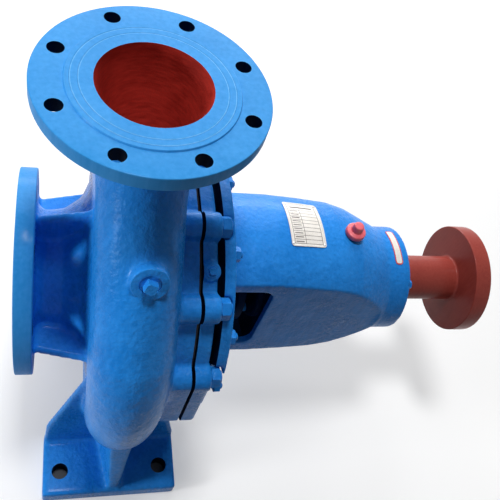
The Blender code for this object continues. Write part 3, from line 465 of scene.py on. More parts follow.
def cast(name, shapes, grain=0.003, paint=None, edge=0.003):
    """Breaks the edges of overlapping shapes, and melts them into one casting."""
    for shape in shapes if edge else ():
        broken = shape.modifiers.new("broken edges", "BEVEL")
        broken.width = edge
        broken.segments = 2
        broken.limit_method = "ANGLE"
        broken.angle_limit = math.radians(BROKEN_ABOVE)
        apply(shape, broken)
    pick(*shapes)
    bpy.ops.object.join()
    thing = new_piece(name)
    melt = thing.modifiers.new("melt", "REMESH")
    melt.mode = "VOXEL"
    melt.voxel_size = grain
    apply(thing, melt)
    soften = thing.modifiers.new("soften", "SMOOTH")
    soften.factor = 0.5
    soften.iterations = SOFTENING
    apply(thing, soften)
    thing.data.materials.clear()
    return painted(thing, paint)


# %% Machining
def machine(thing, operation, tools):
    """Cuts, joins or trims a piece with each tool in turn, and uses the tools up."""
    for tool in tools:
        change = thing.modifiers.new("machine", "BOOLEAN")
        change.operation = operation
        change.object = tool
        change.solver = "MANIFOLD"
        change.material_mode = "TRANSFER"
        apply(thing, change)
        bpy.data.objects.remove(tool)
    return thing


def cut(thing, *tools):
    return machine(thing, "DIFFERENCE", tools)


def weld(thing, *tools):
    return machine(thing, "UNION", tools)


# %% Placing a finished piece
SMOOTH_BELOW = 32


def place_piece(thing, body, slot, *hidden):
    """Moves a finished piece to the pump's place, smooths it and lets it ride on its body."""
    thing.data.transform(Matrix.Translation(PUMP_AT))
    pick(thing)
    bpy.ops.object.shade_smooth_by_angle(angle=math.radians(SMOOTH_BELOW))
    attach(thing, body)
    if hidden:
        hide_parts(*hidden)
    print(f"{thing.name}: {len(thing.data.polygons)} faces")
    return thing


def twin(model, name, turn):
    """A copy with its own mesh, moved and turned by a matrix."""
    made = model.copy()
    made.data = model.data.copy()
    made.name = name
    scene.collection.objects.link(made)
    made.data.transform(turn)
    return made



# %% [markdown]
# ## Paint and metal
#
# A finish is never one colour. Each material below starts from one colour and shifts it with noise
# of a few sizes: patches of some centimetres where the coat is thicker, and fine specks. The same
# noises, pushed through a Bump node, make the unevenness that breaks up a reflection. Patterns
# read Object coordinates, so they keep their real size on every piece.

# %% Patterns
EDGE_LOW, EDGE_HIGH = 0.02, 0.25


def noise(material, grain, detail=3.0, stretch=(1, 1, 1), roughness=0.5):
    """Noise whose patches are about one grain, in metres, across."""
    place = node(material, "ShaderNodeTexCoord")
    mapping = node(material, "ShaderNodeMapping", Scale=stretch)
    wire(material, place.outputs["Object"], mapping.inputs["Vector"])
    made = node(material, "ShaderNodeTexNoise", Scale=1 / grain, Detail=detail, Roughness=roughness)
    wire(material, mapping.outputs["Vector"], made.inputs["Vector"])
    return made.outputs["Fac"]


def blend(material, share, first, second):
    """Mixes two colours, each a tuple or a socket, by a share."""
    made = node(material, "ShaderNodeMix", data_type="RGBA")
    for source, target in ((share, 0), (first, 6), (second, 7)):
        wire(material, source, made.inputs[target])
    return made.outputs[2]


def mottled(material, first, second, share=0.5):
    """Two noises in one, with a share of the first."""
    first, second = combine(material, first, share), combine(material, second, 1 - share)
    return combine(material, first, second, "ADD")


def bumps(material, *layers):
    """Stacks Bump nodes; each layer is (height socket, depth in metres)."""
    normal = None
    for height, depth in layers:
        made = node(material, "ShaderNodeBump", Distance=depth, Strength=1.0)
        wire(material, height, made.inputs["Height"])
        if normal:
            wire(material, normal, made.inputs["Normal"])
        normal = made.outputs["Normal"]
    return normal


def edges(material, reach):
    """1 on sharp edges and 0 elsewhere: how far a bevelled normal leans away from the true one."""
    soft = node(material, "ShaderNodeBevel", samples=4, Radius=reach)
    true = node(material, "ShaderNodeNewGeometry")
    made = node(material, "ShaderNodeVectorMath", operation="DOT_PRODUCT")
    wire(material, soft.outputs["Normal"], made.inputs[0])
    wire(material, true.outputs["Normal"], made.inputs[1])
    return band(material, made.outputs["Value"], 1 - EDGE_LOW, 1 - EDGE_HIGH)


def coat_surface(material, colour, roughness, normal):
    shader = material.node_tree.nodes["Principled BSDF"]
    wire(material, colour, shader.inputs["Base Color"])
    wire(material, roughness, shader.inputs["Roughness"])
    wire(material, normal, shader.inputs["Normal"])
    return material


# %% [markdown]
# The pump is brushed with a glossy blue enamel over a rough casting. Enamel is a smooth clear skin
# over a colour, so the shader has a thin coat, and what it mirrors is tinted like a pale sky. The
# casting under it shows as a fine unevenness, and the brush leaves soft marks that run down the
# piece. Sharp edges are paler in patches: partly worn paint, and partly a painted highlight where
# an edge catches the light. Turned faces are the same paint on smooth metal. Slots and holes lie
# in shade, and they get a nearly black enamel, which is painted shade. Each groove on the flange
# has a paler ring: partly paint gathered there, and partly a painted glint of its edges.

# %% Blue enamel
# Sharp edges take this paler blue in patches: partly worn paint, partly a painted edge highlight.
EDGE_WEAR_AND_GLINT = (0.10, 0.30, 0.62)
SKY_TINT = (0.5, 0.8, 1.0, 1.0)
SHINE = 0.08


def make_enamel(name, deep, pale, cast_depth, rough=0.22, worn_and_lit_edge=EDGE_WEAR_AND_GLINT, shine=SHINE):
    made = new_material(
        name, 0.3, Coat_Weight=shine, Coat_Roughness=0.16, Coat_IOR=1.5,
        Specular_IOR_Level=shine, Specular_Tint=SKY_TINT)
    patches = noise(made, 0.07, 3)
    brushed = noise(made, 0.005, 4, stretch=(1, 1, 0.10))
    grain = noise(made, 0.0056, 3, roughness=0.6)
    sand = noise(made, 0.0022, 2)
    colour = blend(made, band(made, mottled(made, patches, brushed, 0.55), 0.36, 0.64), deep, pale)
    # Paler patches on sharp edges: partly wear, partly a painted highlight on lit edges.
    worn = combine(made, edges(made, 0.0016), band(made, noise(made, 0.010, 3), 0.45, 0.60))
    colour = blend(made, combine(made, worn, 0.6), colour, worn_and_lit_edge)
    uneven = combine(made, patches, grain, "ADD")
    normal = bumps(
        made, (noise(made, 0.018, 2), cast_depth * 1.6), (grain, cast_depth),
        (sand, cast_depth * 0.2), (brushed, 0.00012))
    return coat_surface(made, colour, band(made, uneven, 0.75, 1.25, rough, rough + 0.18), normal)


blue_enamel = make_enamel("blue_enamel", (0.006, 0.175, 0.58), (0.022, 0.250, 0.74), 0.0010)
turned_enamel = make_enamel(
    "turned_enamel", (0.020, 0.225, 0.57), (0.045, 0.285, 0.67), 0.00010, 0.44)
# A nearly black enamel for slots, holes and the lantern's inside: painted shade, where shade falls.
painted_shade_enamel = make_enamel(
    "shaded_enamel", (0.0005, 0.006, 0.026), (0.001, 0.016, 0.060), 0.0003, 0.3,
    worn_and_lit_edge=(0.002, 0.02, 0.06), shine=0.01)
# Paler enamel for the flange's grooves: partly paint gathered there, partly a painted glint.
groove_paint_and_glint = make_enamel(
    "groove_enamel", (0.06, 0.32, 0.66), (0.14, 0.42, 0.76), 0.0001, 0.36)
print("enamels:", [made.name for made in (blue_enamel, turned_enamel, painted_shade_enamel, groove_paint_and_glint)])

# %% [markdown]
# Oxide red primer is a flat, slightly chalky paint. Inside the casing it is brushed thin over the
# bare casting, so it has streaks and no sheen. On the coupling it is thicker, browner, and has a
# little sheen.

# %% Red primer
def make_primer(name, deep, pale, roughness_low, roughness_high, rough_cast):
    made = new_material(
        name, 0.5, Specular_IOR_Level=0.1, Coat_Weight=0.0 if rough_cast else 0.08,
        Coat_Roughness=0.2)
    patches = noise(made, 0.04, 4)
    streaks = noise(made, 0.003, 4, stretch=(0.2, 0.2, 1) if rough_cast else (1, 1, 0.15))
    sand = noise(made, 0.0014, 3)
    mottle = mottled(made, patches, streaks)
    colour = blend(made, band(made, mottle, 0.38, 0.62), deep, pale)
    worn = combine(made, edges(made, 0.0012), band(made, noise(made, 0.006, 4), 0.5, 0.6))
    colour = blend(made, combine(made, worn, 0.5), colour, (0.45, 0.20, 0.15))
    depth = 0.0004 if rough_cast else 0.00005
    normal = bumps(made, (patches, depth), (streaks, depth * 0.6), (sand, depth * 0.4))
    return coat_surface(
        made, colour, band(made, mottle, 0.4, 0.6, roughness_low, roughness_high), normal)


wet_primer = make_primer(
    "casing_primer", (0.29, 0.018, 0.013), (0.46, 0.033, 0.023), 0.5, 0.7, True)
red_primer = make_primer(
    "coupling_primer", (0.255, 0.038, 0.029), (0.300, 0.050, 0.037), 0.28, 0.40, False)
print("primers:", wet_primer.name, red_primer.name)

# %% [markdown]
# Turned steel shows the tool's fine rings round the shaft, so its noise is squeezed along the
# shaft. A bare casting is dark and dull, and the shaft and the gland's studs are a near black
# steel.
# Gasket and packing are nearly black. Plates are enamelled sheet, printed with ink.

# %% Steel, cast metal, gasket, packing and plates
def make_steel(name, deep, pale, roughness_low, roughness_high):
    made = new_material(name, 0.35, 1.0)
    rings = noise(made, 0.0012, 4, stretch=(1, 0.04, 0.04))
    patches = noise(made, 0.02, 4)
    colour = blend(made, band(made, patches, 0.35, 0.65), deep, pale)
    uneven = combine(made, rings, patches, "ADD")
    return coat_surface(
        made, colour, band(made, uneven, 0.75, 1.25, roughness_low, roughness_high),
        bumps(made, (rings, 0.00006), (patches, 0.00015)))


def make_dull(name, deep, pale, roughness, grain, depth, metallic=0.0):
    made = new_material(name, roughness, metallic)
    patches = noise(made, grain * 8, 4)
    sand = noise(made, grain, 4)
    mottle = mottled(made, patches, sand)
    colour = blend(made, band(made, mottle, 0.36, 0.64), deep, pale)
    return coat_surface(
        made, colour, band(made, mottle, 0.3, 0.7, roughness - 0.1, roughness + 0.1),
        bumps(made, (patches, depth * 2), (sand, depth)))


bright_steel = make_steel("bright_steel", (0.40, 0.40, 0.41), (0.58, 0.58, 0.59), 0.22, 0.42)
DULL = {
    "cast_metal": ((0.10, 0.085, 0.075), (0.24, 0.21, 0.19), 0.6, 0.002, 0.0003, 0.6),
    "gasket_black": ((0.006, 0.006, 0.008), (0.022, 0.022, 0.026), 0.75, 0.001, 0.0001),
    "near_black_steel": ((0.010, 0.010, 0.012), (0.035, 0.034, 0.036), 0.45, 0.0014, 0.00006, 0.3),
    "packing_braid": ((0.02, 0.02, 0.02), (0.06, 0.058, 0.055), 0.8, 0.0015, 0.0004),
    "cream_plate": ((0.70, 0.66, 0.60), (0.82, 0.79, 0.74), 0.35, 0.0012, 0.00004),
    "plate_ink": ((0.05, 0.04, 0.04), (0.16, 0.13, 0.12), 0.5, 0.0012, 0.00002),
    "sticker_red": ((0.50, 0.03, 0.03), (0.62, 0.06, 0.05), 0.5, 0.0012, 0.00002),
}
dull = {name: make_dull(name, *look) for name, look in DULL.items()}
print("metals and plates:", [bright_steel.name, *dull])

# %% [markdown]
# The oil plug is moulded plastic: an even colour with a slight marbling, a soft sheen, and light
# scatter under its skin that makes its edges glow.

# %% Plastic
def make_plastic(name, deep, pale):
    made = new_material(
        name, 0.3, Subsurface_Weight=0.08, Subsurface_Scale=0.003, Specular_IOR_Level=0.5)
    patches = noise(made, 0.012, 3)
    sand = noise(made, 0.0008, 2)
    colour = blend(made, band(made, patches, 0.35, 0.65), deep, pale)
    return coat_surface(
        made, colour, band(made, patches, 0.3, 0.7, 0.24, 0.4),
        bumps(made, (patches, 0.0001), (sand, 0.00004)))


red_plastic = make_plastic("red_plastic", (0.66, 0.075, 0.105), (0.78, 0.125, 0.160))
print("plastic:", red_plastic.name)

# %% Painted shadows on the floor under the foot holes
HOLE_SHADOW_R = 0.0135
HOLE_SHADOW_RISE = 0.0004
hole_shadow_paint = new_material("hole_shadow_paint", 0.5)
hole_shadow_paint.node_tree.nodes["Principled BSDF"].inputs["Base Color"].default_value = (
    0.01, 0.02, 0.04, 1)


def paint_hole_shadow(x, y):
    """A dark disc on the floor under a foot's bolt hole: a painted shadow seen down the hole."""
    hole = flat_disc("hole_shadow_disc", HOLE_SHADOW_R, (x, y, HOLE_SHADOW_RISE), 32, hole_shadow_paint)
    hole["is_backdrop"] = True
    return hole


# This prints the width of the painted shadow under a foot hole.
print("an anchor hole is", HOLE_SHADOW_R * 2, "across")

# %% [markdown]
# ## Volute casing
#
# The casing is the pump's largest casting. A spiral tube collects the water that the impeller
# throws out and leads it up the neck to the discharge flange. Its tube grows evenly along the
# spiral, so its centre and size follow from a share between 0 and 1, and the neck is a smooth
# curve from the spiral's end to the flange.

# %% Spiral and neck
DISCHARGE_FACE = 0.355
CHAMBER_R = 0.165
WALL = 0.0125
TUBE_X = -0.002
TUBE_FLAT = 0.88
NECK_R = 0.057
NECK_TOP_R = 0.0735
SPIRAL_START, SPIRAL_TURN = -20.0, -280.0


def spiral_at(share):
    """(centre, angle, size across, width along the shaft) of the spiral tube."""
    angle = SPIRAL_START + SPIRAL_TURN * share
    size = 0.031 + 0.027 * share
    centre = Vector((TUBE_X, *round_the_shaft(angle, 0.158 + 0.037 * share)))
    return centre, math.radians(angle), size, size * TUBE_FLAT


def neck_at(share):
    """The same for the neck, a curve with four control points."""
    start, angle, _, _ = spiral_at(1.0)
    leave = Vector((0, math.cos(angle), math.sin(angle)))
    top = Vector((0, 0, DISCHARGE_FACE - 0.004))
    reach = (top - start).length
    first = start + leave * reach * 0.42
    second = top - Vector((0, 0, reach * 0.36))
    rest = 1 - share
    centre = (start * rest ** 3 + first * 3 * rest ** 2 * share
              + second * 3 * rest * share ** 2 + top * share ** 3)
    along = ((first - start) * rest ** 2 + (second - first) * 2 * rest * share
             + (top - second) * share ** 2)
    flare = max(0.0, (share - 0.5) / 0.5) ** 2
    size = NECK_R + (NECK_TOP_R - NECK_R) * flare
    centre.x = TUBE_X * (1 - flare)
    turn = math.atan2(along.z, along.y)
    turn += 2 * math.pi * round((angle - turn) / (2 * math.pi))
    return centre, turn, size, size * (TUBE_FLAT + (1 - TUBE_FLAT) * flare)


def volute_tube(name, thicker=0.0, longer=0.0, paint=None):
    path = [spiral_at(i / 48) for i in range(49)] + [neck_at(i / 24) for i in range(1, 25)]
    if longer:
        centre, angle, size, width = path[-1]
        path.append((centre + Vector((0, 0, longer)), angle, size, width))
    path = [(centre, angle, size + thicker, width + thicker) for centre, angle, size, width in path]
    return swept(name, path, paint=paint)


print("the neck ends at", [round(v, 4) for v in neck_at(1)[0]])

# %% [markdown]
# The front of the casting is turned: the suction nozzle, its flare and the flat shell behind it.
# Four ribs brace the nozzle, twelve bosses carry the studs of the joint, and the rim is straight
# between the two bosses beside its widest point.

# %% Body, ribs and bosses
FRONT_WALL = -0.044
JOINT_FACE = 0.0725
JOINT_SPARE = 0.006
RING_FRONT = 0.048
RING_R = 0.188
STUD_CIRCLE_R = 0.190
BOSS_R = 0.018
NOZZLE_R = 0.083
RIM_EDGE, RIM_DEPTH, RIM_HALF = 0.2012, 0.036, 0.0492


def straight_sides(low, high):
    return [
        side_block("straight_side", side, (low, high), (RIM_EDGE, RIM_EDGE - RIM_DEPTH),
                   (-RIM_HALF, RIM_HALF))
        for side in (-1, 1)]


def casing_body():
    return turned("casing_body", [
        (-0.1365, 0), (-0.1365, 0.1375), (-0.1160, 0.1375), (-0.1160, NOZZLE_R + 0.010),
        (-0.1060, NOZZLE_R), (FRONT_WALL - 0.036, NOZZLE_R + 0.004),
        (FRONT_WALL - 0.014, NOZZLE_R + 0.020), (FRONT_WALL - 0.003, NOZZLE_R + 0.045),
        (FRONT_WALL, 0.165), (FRONT_WALL + 0.012, 0.177), (RING_FRONT, 0.177),
        (RING_FRONT, RING_R), (JOINT_FACE + JOINT_SPARE, RING_R), (JOINT_FACE + JOINT_SPARE, 0),
    ])


def suction_rib(angle):
    """A web between the suction flange and the volute's front."""
    side = Vector((0, *round_the_shaft(angle + 90, 0.006)))
    front, back = -0.125, FRONT_WALL + 0.006
    outline = [
        Vector((x, *round_the_shaft(angle, radius))) - side
        for x, radius in ((front, 0.078), (front, 0.119), (back, 0.139), (back, 0.078))]
    return slab("suction_rib", outline, side * 2)


def joint_bosses(low, high, places):
    made = []
    for angle in places:
        y, z = round_the_shaft(angle, STUD_CIRCLE_R)
        made.append(rod("joint_boss", (low, y, z), (high, y, z), BOSS_R))
    return made


shapes = [casing_body(), volute_tube("spiral")]
shapes += [suction_rib(angle) for angle in angles(4)]
shapes += joint_bosses(RING_FRONT - 0.002, JOINT_FACE + JOINT_SPARE, angles(12, 15))
shapes += straight_sides(RING_FRONT, JOINT_FACE + JOINT_SPARE)
print("shapes of the casing so far:", len(shapes))

# %% [markdown]
# Each foot is a pad, a cross web and a middle rib that leans outwards. The gauge and the drain are
# tapped into small round bosses, which stand out of the tube; the gauge's boss leans down.

# %% Feet and tapped bosses
FLOOR = -0.280
PAD_TOP = FLOOR + 0.0265
FOOT_OUT, FOOT_IN = 0.2355, 0.1425
GAUGE_SHARE, GAUGE_X, GAUGE_LEAN, GAUGE_R = 0.28, 0.004, 22, 0.021
DRAIN_SHARE, DRAIN_R = 160 / 280, 0.017


def foot(side):
    outer, inner = side * FOOT_OUT, side * FOOT_IN
    pad = side_block(
        "foot_pad", side, (-0.100, 0.100), (FOOT_OUT, FOOT_IN), (FLOOR - 0.006, PAD_TOP))
    web_line = [
        (-0.100, PAD_TOP - 0.006), (0.100, PAD_TOP - 0.006), (0.100, PAD_TOP + 0.006),
        (0.088, PAD_TOP + 0.055), (RING_FRONT, -CHAMBER_R + 0.040), (FRONT_WALL + 0.006, -0.024),
        (FRONT_WALL - 0.003, -0.024), (-0.096, PAD_TOP + 0.055),
    ]
    web = slab("foot_web", [(x, inner, z) for x, z in web_line], (0, side * 0.009, 0))
    rib = block("foot_rib", (-1, -1, -1), (1, 1, 1))
    for corner in rib.data.vertices:
        upper = corner.co.z > 0
        half, y = 0.023, inner
        if corner.co.y * side > 0:
            half = 0.0155 if upper else 0.0075
            y = outer - side * (0.022 if upper else 0.004)
        z = -CHAMBER_R + 0.045 if upper else PAD_TOP - 0.006
        corner.co = (0.004 + half * corner.co.x, y, z)
    pick(rib)
    bpy.ops.object.mode_set(mode="EDIT")
    face_outwards()
    return [pad, web, rib]


def tapping(centre, angle, size, height):
    """Where a tapped boss leaves the tube, and its direction."""
    out = Vector((0, -math.sin(angle), math.cos(angle)))
    return centre + out * (size + height), out


def boss_root(name, place, out, radius):
    """The rough part of a tapped boss, which the casting melts into its wall."""
    return rod(name, place - out * 0.016, place - out * 0.0015, radius - 0.0005)


gauge_centre, gauge_angle, gauge_size, _ = neck_at(GAUGE_SHARE)
gauge_centre.x = GAUGE_X
GAUGE_AT, GAUGE_OUT = tapping(gauge_centre, gauge_angle, gauge_size, 0.007)
GAUGE_OUT = Matrix.Rotation(math.radians(GAUGE_LEAN), 3, "X") @ GAUGE_OUT
GAUGE_AT = GAUGE_AT - GAUGE_OUT * 0.0015
drain_centre, drain_angle, drain_size, _ = spiral_at(DRAIN_SHARE)
DRAIN_AT, DRAIN_OUT = tapping(drain_centre, drain_angle, drain_size, 0.008)

shapes += foot(-1) + foot(1)
shapes.append(boss_root("gauge_root", GAUGE_AT, GAUGE_OUT, GAUGE_R))
shapes.append(boss_root("drain_root", DRAIN_AT, DRAIN_OUT, DRAIN_R))
casing = cast("casing_casting", shapes, paint=blue_enamel)
print("rough casing:", len(casing.data.polygons), "faces")

# %% [markdown]
# The two flanges are turned on a lathe after casting, so they are exact rings with crisp steps.
# They are welded on here. The discharge flange has two fine grooves for its gasket, and a thin
# ring of paler paint fills each one: partly paint gathered there, and partly a painted glint of
# the groove's edges.

# %% Flanges
FLANGE_BACK = -0.1155
GROOVES = (0.0753, 0.0833)

suction_ring = turned("suction_ring", [
    (-0.1395, 0.060), (SUCTION_FACE, 0.062), (SUCTION_FACE, 0.106),
    (SUCTION_FACE + 0.002, 0.1065), (SUCTION_FACE + 0.002, 0.140, 0.0012),
    (FLANGE_BACK, 0.140, 0.002), (FLANGE_BACK, 0.095), (-0.130, 0.060),
], 128, turned_enamel)
face_line = [(0.3545, 0.0895), (DISCHARGE_FACE, 0.0890)]
for groove in reversed(GROOVES):
    face_line += [
        (DISCHARGE_FACE, groove + 0.0010), (DISCHARGE_FACE - 0.0005, groove + 0.0005),
        (DISCHARGE_FACE - 0.0005, groove - 0.0001), (DISCHARGE_FACE, groove - 0.0006)]
discharge_ring = turned("discharge_ring", [
    (0.3395, 0.055), (0.3355, 0.078), (0.3355, 0.1225, 0.002), (0.353, 0.1225, 0.0012),
    (0.353, 0.0900), *face_line, (DISCHARGE_FACE, 0.055),
], 128, turned_enamel)
weld(casing, suction_ring, point_along(discharge_ring, (0, 0, 0), (0, 0, 1)))
# A ring of paler paint in each groove, partly a painted glint of its edges.
for groove in GROOVES:
    low, high = DISCHARGE_FACE - 0.002, DISCHARGE_FACE - 0.0001
    inner, outer = groove - 0.0005, groove + 0.0005
    line = [(low, inner), (low, outer), (high, outer), (high, inner)]
    paint_and_glint_ring = turned("groove_paint_glint_ring", line, 96, groove_paint_and_glint)
    weld(casing, point_along(paint_and_glint_ring, (0, 0, 0), (0, 0, 1)))
weld(casing, rod("gauge_boss", GAUGE_AT - GAUGE_OUT * 0.012, GAUGE_AT, GAUGE_R,
                 edge=0.0015, paint=blue_enamel))
weld(casing, rod("drain_boss", DRAIN_AT - DRAIN_OUT * 0.012, DRAIN_AT, DRAIN_R,
                 edge=0.0015, paint=blue_enamel))
print("casing with its flanges:", len(casing.data.polygons), "faces")

# %% [markdown]
# The joint face, the base of the feet, the water way and all holes are cut last. The water way is
# painted with red primer, which each cutter carries into the cut. The holes and the slot at the
# joint lie in shade, so their cutters carry the nearly black enamel as painted shade.

# %% Joint face, base and water way
cut(casing, turned("joint_plane", [
    (JOINT_FACE, 0), (JOINT_FACE, 0.213), (0.09, 0.213), (0.09, 0)], 128, painted_shade_enamel))
cut(casing, block("base_plane", (-0.3, -0.4, FLOOR - 0.05), (0.3, 0.4, FLOOR), blue_enamel))
cut(casing, turned("water_way", [
    (SUCTION_FACE - 0.01, 0), (SUCTION_FACE - 0.01, 0.075), (-0.052, 0.075), (-0.052, 0.0908),
    (-0.031, 0.0908), (-0.031, CHAMBER_R), (JOINT_FACE + 0.01, CHAMBER_R), (JOINT_FACE + 0.01, 0),
], 96, wet_primer))
cut(casing, volute_tube("volute_inside", -WALL, 0.02, wet_primer))
print("hollow casing:", len(casing.data.polygons), "faces")

# %% Holes
DISCHARGE_BOLTS_R, SUCTION_BOLTS_R = 0.105, 0.120
FOOT_HOLES_X, FOOT_HOLES_Y = 0.075, 0.200


# A hole's cutter carries the painted shade unless another paint is named.
def hole(name, start, end, radius, paint=painted_shade_enamel):
    return rod(name, start, end, radius, 32, paint=paint)


for angle in angles(8, 22.5):
    x, y = round_the_shaft(angle, DISCHARGE_BOLTS_R)
    cut(casing, hole("bolt_hole", (x, y, 0.325), (x, y, 0.36), 0.009))
    y, z = round_the_shaft(angle, SUCTION_BOLTS_R)
    cut(casing, hole("bolt_hole", (-0.145, y, z), (-0.110, y, z), 0.0115))
for x in (-FOOT_HOLES_X, FOOT_HOLES_X):
    for y in (-FOOT_HOLES_Y, FOOT_HOLES_Y):
        cut(casing, hole("foot_hole", (x, y, FLOOR - 0.01), (x, y, FLOOR + 0.04), 0.012))
        # Under each foot hole the floor gets a painted shadow.
        paint_hole_shadow(x + PUMP_AT.x, y + PUMP_AT.y)
cut(casing, hole("gauge_tap", GAUGE_AT - GAUGE_OUT * 0.012, GAUGE_AT + GAUGE_OUT * 0.01,
                 0.0120, blue_enamel))
place_piece(casing, "pump", "blue_enamel", "volute_casing")

# %% [markdown]
# ## Casing cover
#
# The cover closes the back of the volute and carries the stuffing box. Its rim has the same
# scallops as the casing's, because the same studs pass through both. Behind it is a slot where only
# shade falls, so the faces that close the slot are picked by their place and given painted shade.

# %% Cover
COVER_FACE = 0.077
COVER_BACK = 0.0955
COVER_INNER_FACE = 0.046
COVER_SPARE = 0.070
LANTERN_CAVITY_R = 0.113
SLOT_R = 0.184
BOX_END = 0.150
FLUSH_ANGLE, FLUSH_R = 31.5, 0.1932
BLIND = (105, 255)
STUDDED = [angle for angle in angles(12, 15) if angle not in BLIND]

FLUSH_OUT = Vector((0, *round_the_shaft(FLUSH_ANGLE, 1)))
FLUSH_AT = Vector(((COVER_FACE + COVER_BACK) / 2, 0, 0)) + FLUSH_OUT * FLUSH_R


def shade_slot(thing, x, side):
    """Gives the faces that close a slot across the shaft painted shade: the nearly black enamel."""
    thing.data.materials.append(painted_shade_enamel)
    last = len(thing.data.materials) - 1
    for face in thing.data.polygons:
        place = face.center
        near = math.hypot(place.y, place.z) < SLOT_R
        if near and abs(place.x - x) < 0.0012 and face.normal.x * side > 0.8:
            face.material_index = last


shapes = [turned("cover_body", [
    (COVER_INNER_FACE, 0.034), (COVER_INNER_FACE, 0.164), (COVER_SPARE, 0.164),
    (COVER_SPARE, RING_R), (COVER_BACK, RING_R), (COVER_BACK, LANTERN_CAVITY_R), (0.068, 0.107),
    (0.068, 0.064), (0.080, 0.052), (0.138, 0.052), (0.138, 0.066), (BOX_END, 0.066),
    (BOX_END, 0.034),
])]
shapes += joint_bosses(COVER_SPARE, COVER_BACK + 0.003, STUDDED)
shapes += joint_bosses(COVER_SPARE, COVER_BACK, BLIND)
shapes += straight_sides(COVER_SPARE, COVER_BACK)
shapes.append(rod(
    "flush_root", FLUSH_AT - FLUSH_OUT * 0.012, FLUSH_AT + FLUSH_OUT * 0.0004, 0.0125))
cover = cast("cover_casting", shapes, grain=0.0025, paint=blue_enamel)
# The cover's joint face, which closes the slot towards the casing, is cut with painted shade.
cut(cover, turned("cover_plane", [
    (0.030, 0.1647), (0.030, 0.25), (COVER_FACE, 0.25), (COVER_FACE, 0.1647)], 128, painted_shade_enamel))
shade_slot(cover, COVER_BACK, 1)
place_piece(cover, "pump", "blue_enamel", "casing_cover")

# %% [markdown]
# ## Bearing bracket
#
# The bracket is one casting too. Its flange bolts to the cover, a lantern with two side windows
# leaves room for the stuffing box, and its narrow end holds the bearings in an oil chamber. The
# sides are flat. Pockets in the flange's face give the joint's nuts room. The back is drawn once,
# as a line that its plates follow later.

# %% The bracket's line
BRACKET_FACE = 0.104
BRACKET_BACK = 0.1185
LANTERN_R = 0.123
BARREL_R = 0.079
BARREL_START = 0.381
BRACKET_END = 0.4135
LANTERN_END = 0.196
TAPER = [
    (0.0765, 1.0), (0.1275, 0.92), (0.1765, 0.80), (0.2065, 0.61), (0.2285, 0.375), (0.2475, 0.16)]

bracket_line = [(BRACKET_BACK, LANTERN_R + 0.008), (BRACKET_BACK + 0.008, LANTERN_R)]
bracket_line += [
    (BRACKET_BACK + along, BARREL_R + (LANTERN_R - BARREL_R) * share) for along, share in TAPER]
bracket_line += [(BARREL_START, BARREL_R), (BRACKET_END, BARREL_R)]
print("the bracket tapers from", LANTERN_R, "to", BARREL_R)

# %% Rough bracket
SIDE_FLAT = 0.078
RIM_FLAT = 0.164
POCKET_R, POCKET_END = 0.0148, 0.1138


def lantern_window(side):
    start, end, low, high, corner = 0.129, 0.195, -0.070, 0.077, 0.018
    outline = [(start, low), (start, high)]
    for x, z, first in ((end - corner, high - corner, 0), (end - corner, low + corner, 90)):
        for step in range(7):
            turn = math.radians(first + 15 * step)
            outline.append((x + corner * math.sin(turn), z + corner * math.cos(turn)))
    return slab("window", [(x, side * 0.055, z) for x, z in outline], (0, side * 0.05, 0))


bracket = turned("bracket_casting", [
    (BRACKET_FACE - 0.006, 0), (BRACKET_FACE - 0.006, RING_R), (BRACKET_BACK, RING_R),
    *bracket_line, (BRACKET_END, 0)], 128)
for side in (-1, 1):
    cut(bracket, side_block("side_flat", side, (0.1265, 0.375), (SIDE_FLAT, 0.2), (-0.2, 0.2)))
    cut(bracket, side_block(
        "rim_flat", side, (0.09, 0.1225), (RIM_FLAT, 0.21), (-0.2, RIM_HALF)))
for angle in angles(12, 15):
    y, z = round_the_shaft(angle, STUD_CIRCLE_R)
    cut(bracket, rod("nut_pocket", (0.09, y, z), (POCKET_END, y, z), POCKET_R))
for side in (-1, 1):
    cut(bracket, lantern_window(side))
bracket = cast("bracket_casting", [bracket], grain=0.0025, paint=blue_enamel, edge=0.0)
print("rough bracket:", len(bracket.data.polygons), "faces")

# %% [markdown]
# The lantern's inside has a round mouth, and behind it a room between two flat sides. A spigot, a
# short ring on the flange's face, centres the bracket in the cover. The cutters of the room, the
# mouth and the flange's face carry the nearly black enamel, painted shade for the shaded inside.

# %% Machined bracket
room = rod("hollow", (0.09, 0, 0), (LANTERN_END, 0, 0), LANTERN_CAVITY_R, 128, paint=painted_shade_enamel)
machine(room, "INTERSECT", [
    block("width", (0.08, -0.0685, -0.2), (0.3, 0.0685, 0.2), painted_shade_enamel)])
mouth = rod("mouth", (0.09, 0, 0), (0.1225, 0, 0), LANTERN_CAVITY_R, 128, paint=painted_shade_enamel)
cut(bracket, room, mouth)
cut(bracket, block("flange_plane", (0.08, -0.3, -0.3), (BRACKET_FACE, 0.3, 0.3), painted_shade_enamel))
cut(bracket, rod("bearing_bore", (0.218, 0, 0), (0.42, 0, 0), 0.050, 64, paint=blue_enamel))
cut(bracket, rod("shaft_way", (0.18, 0, 0), (0.23, 0, 0), 0.036, 64, paint=blue_enamel))
weld(bracket, turned("spigot", [
    (0.0958, 0.1135), (0.0958, 0.150), (BRACKET_FACE + 0.002, 0.150),
    (BRACKET_FACE + 0.002, 0.1135)], 128, blue_enamel))
place_piece(bracket, "pump", "blue_enamel", "bearing_bracket")

# %% [markdown]
# ## Coupling half
#
# The coupling half is turned from one bar: a long hub with a keyway and a thick disc. Every edge
# of it is broken by the lathe, and the corner between hub and disc keeps the tool's radius. A small
# screw with a six-sided socket holds the hub on its key.

# %% Coupling
COUPLING_FACE = 0.5485
DISC_FACE = 0.5225
HUB_START = 0.434
GRUB_X = 0.462


def grub_at(depth):
    """A point on the grub screw's line, at a depth across and below the shaft."""
    return GRUB_X, depth, -depth


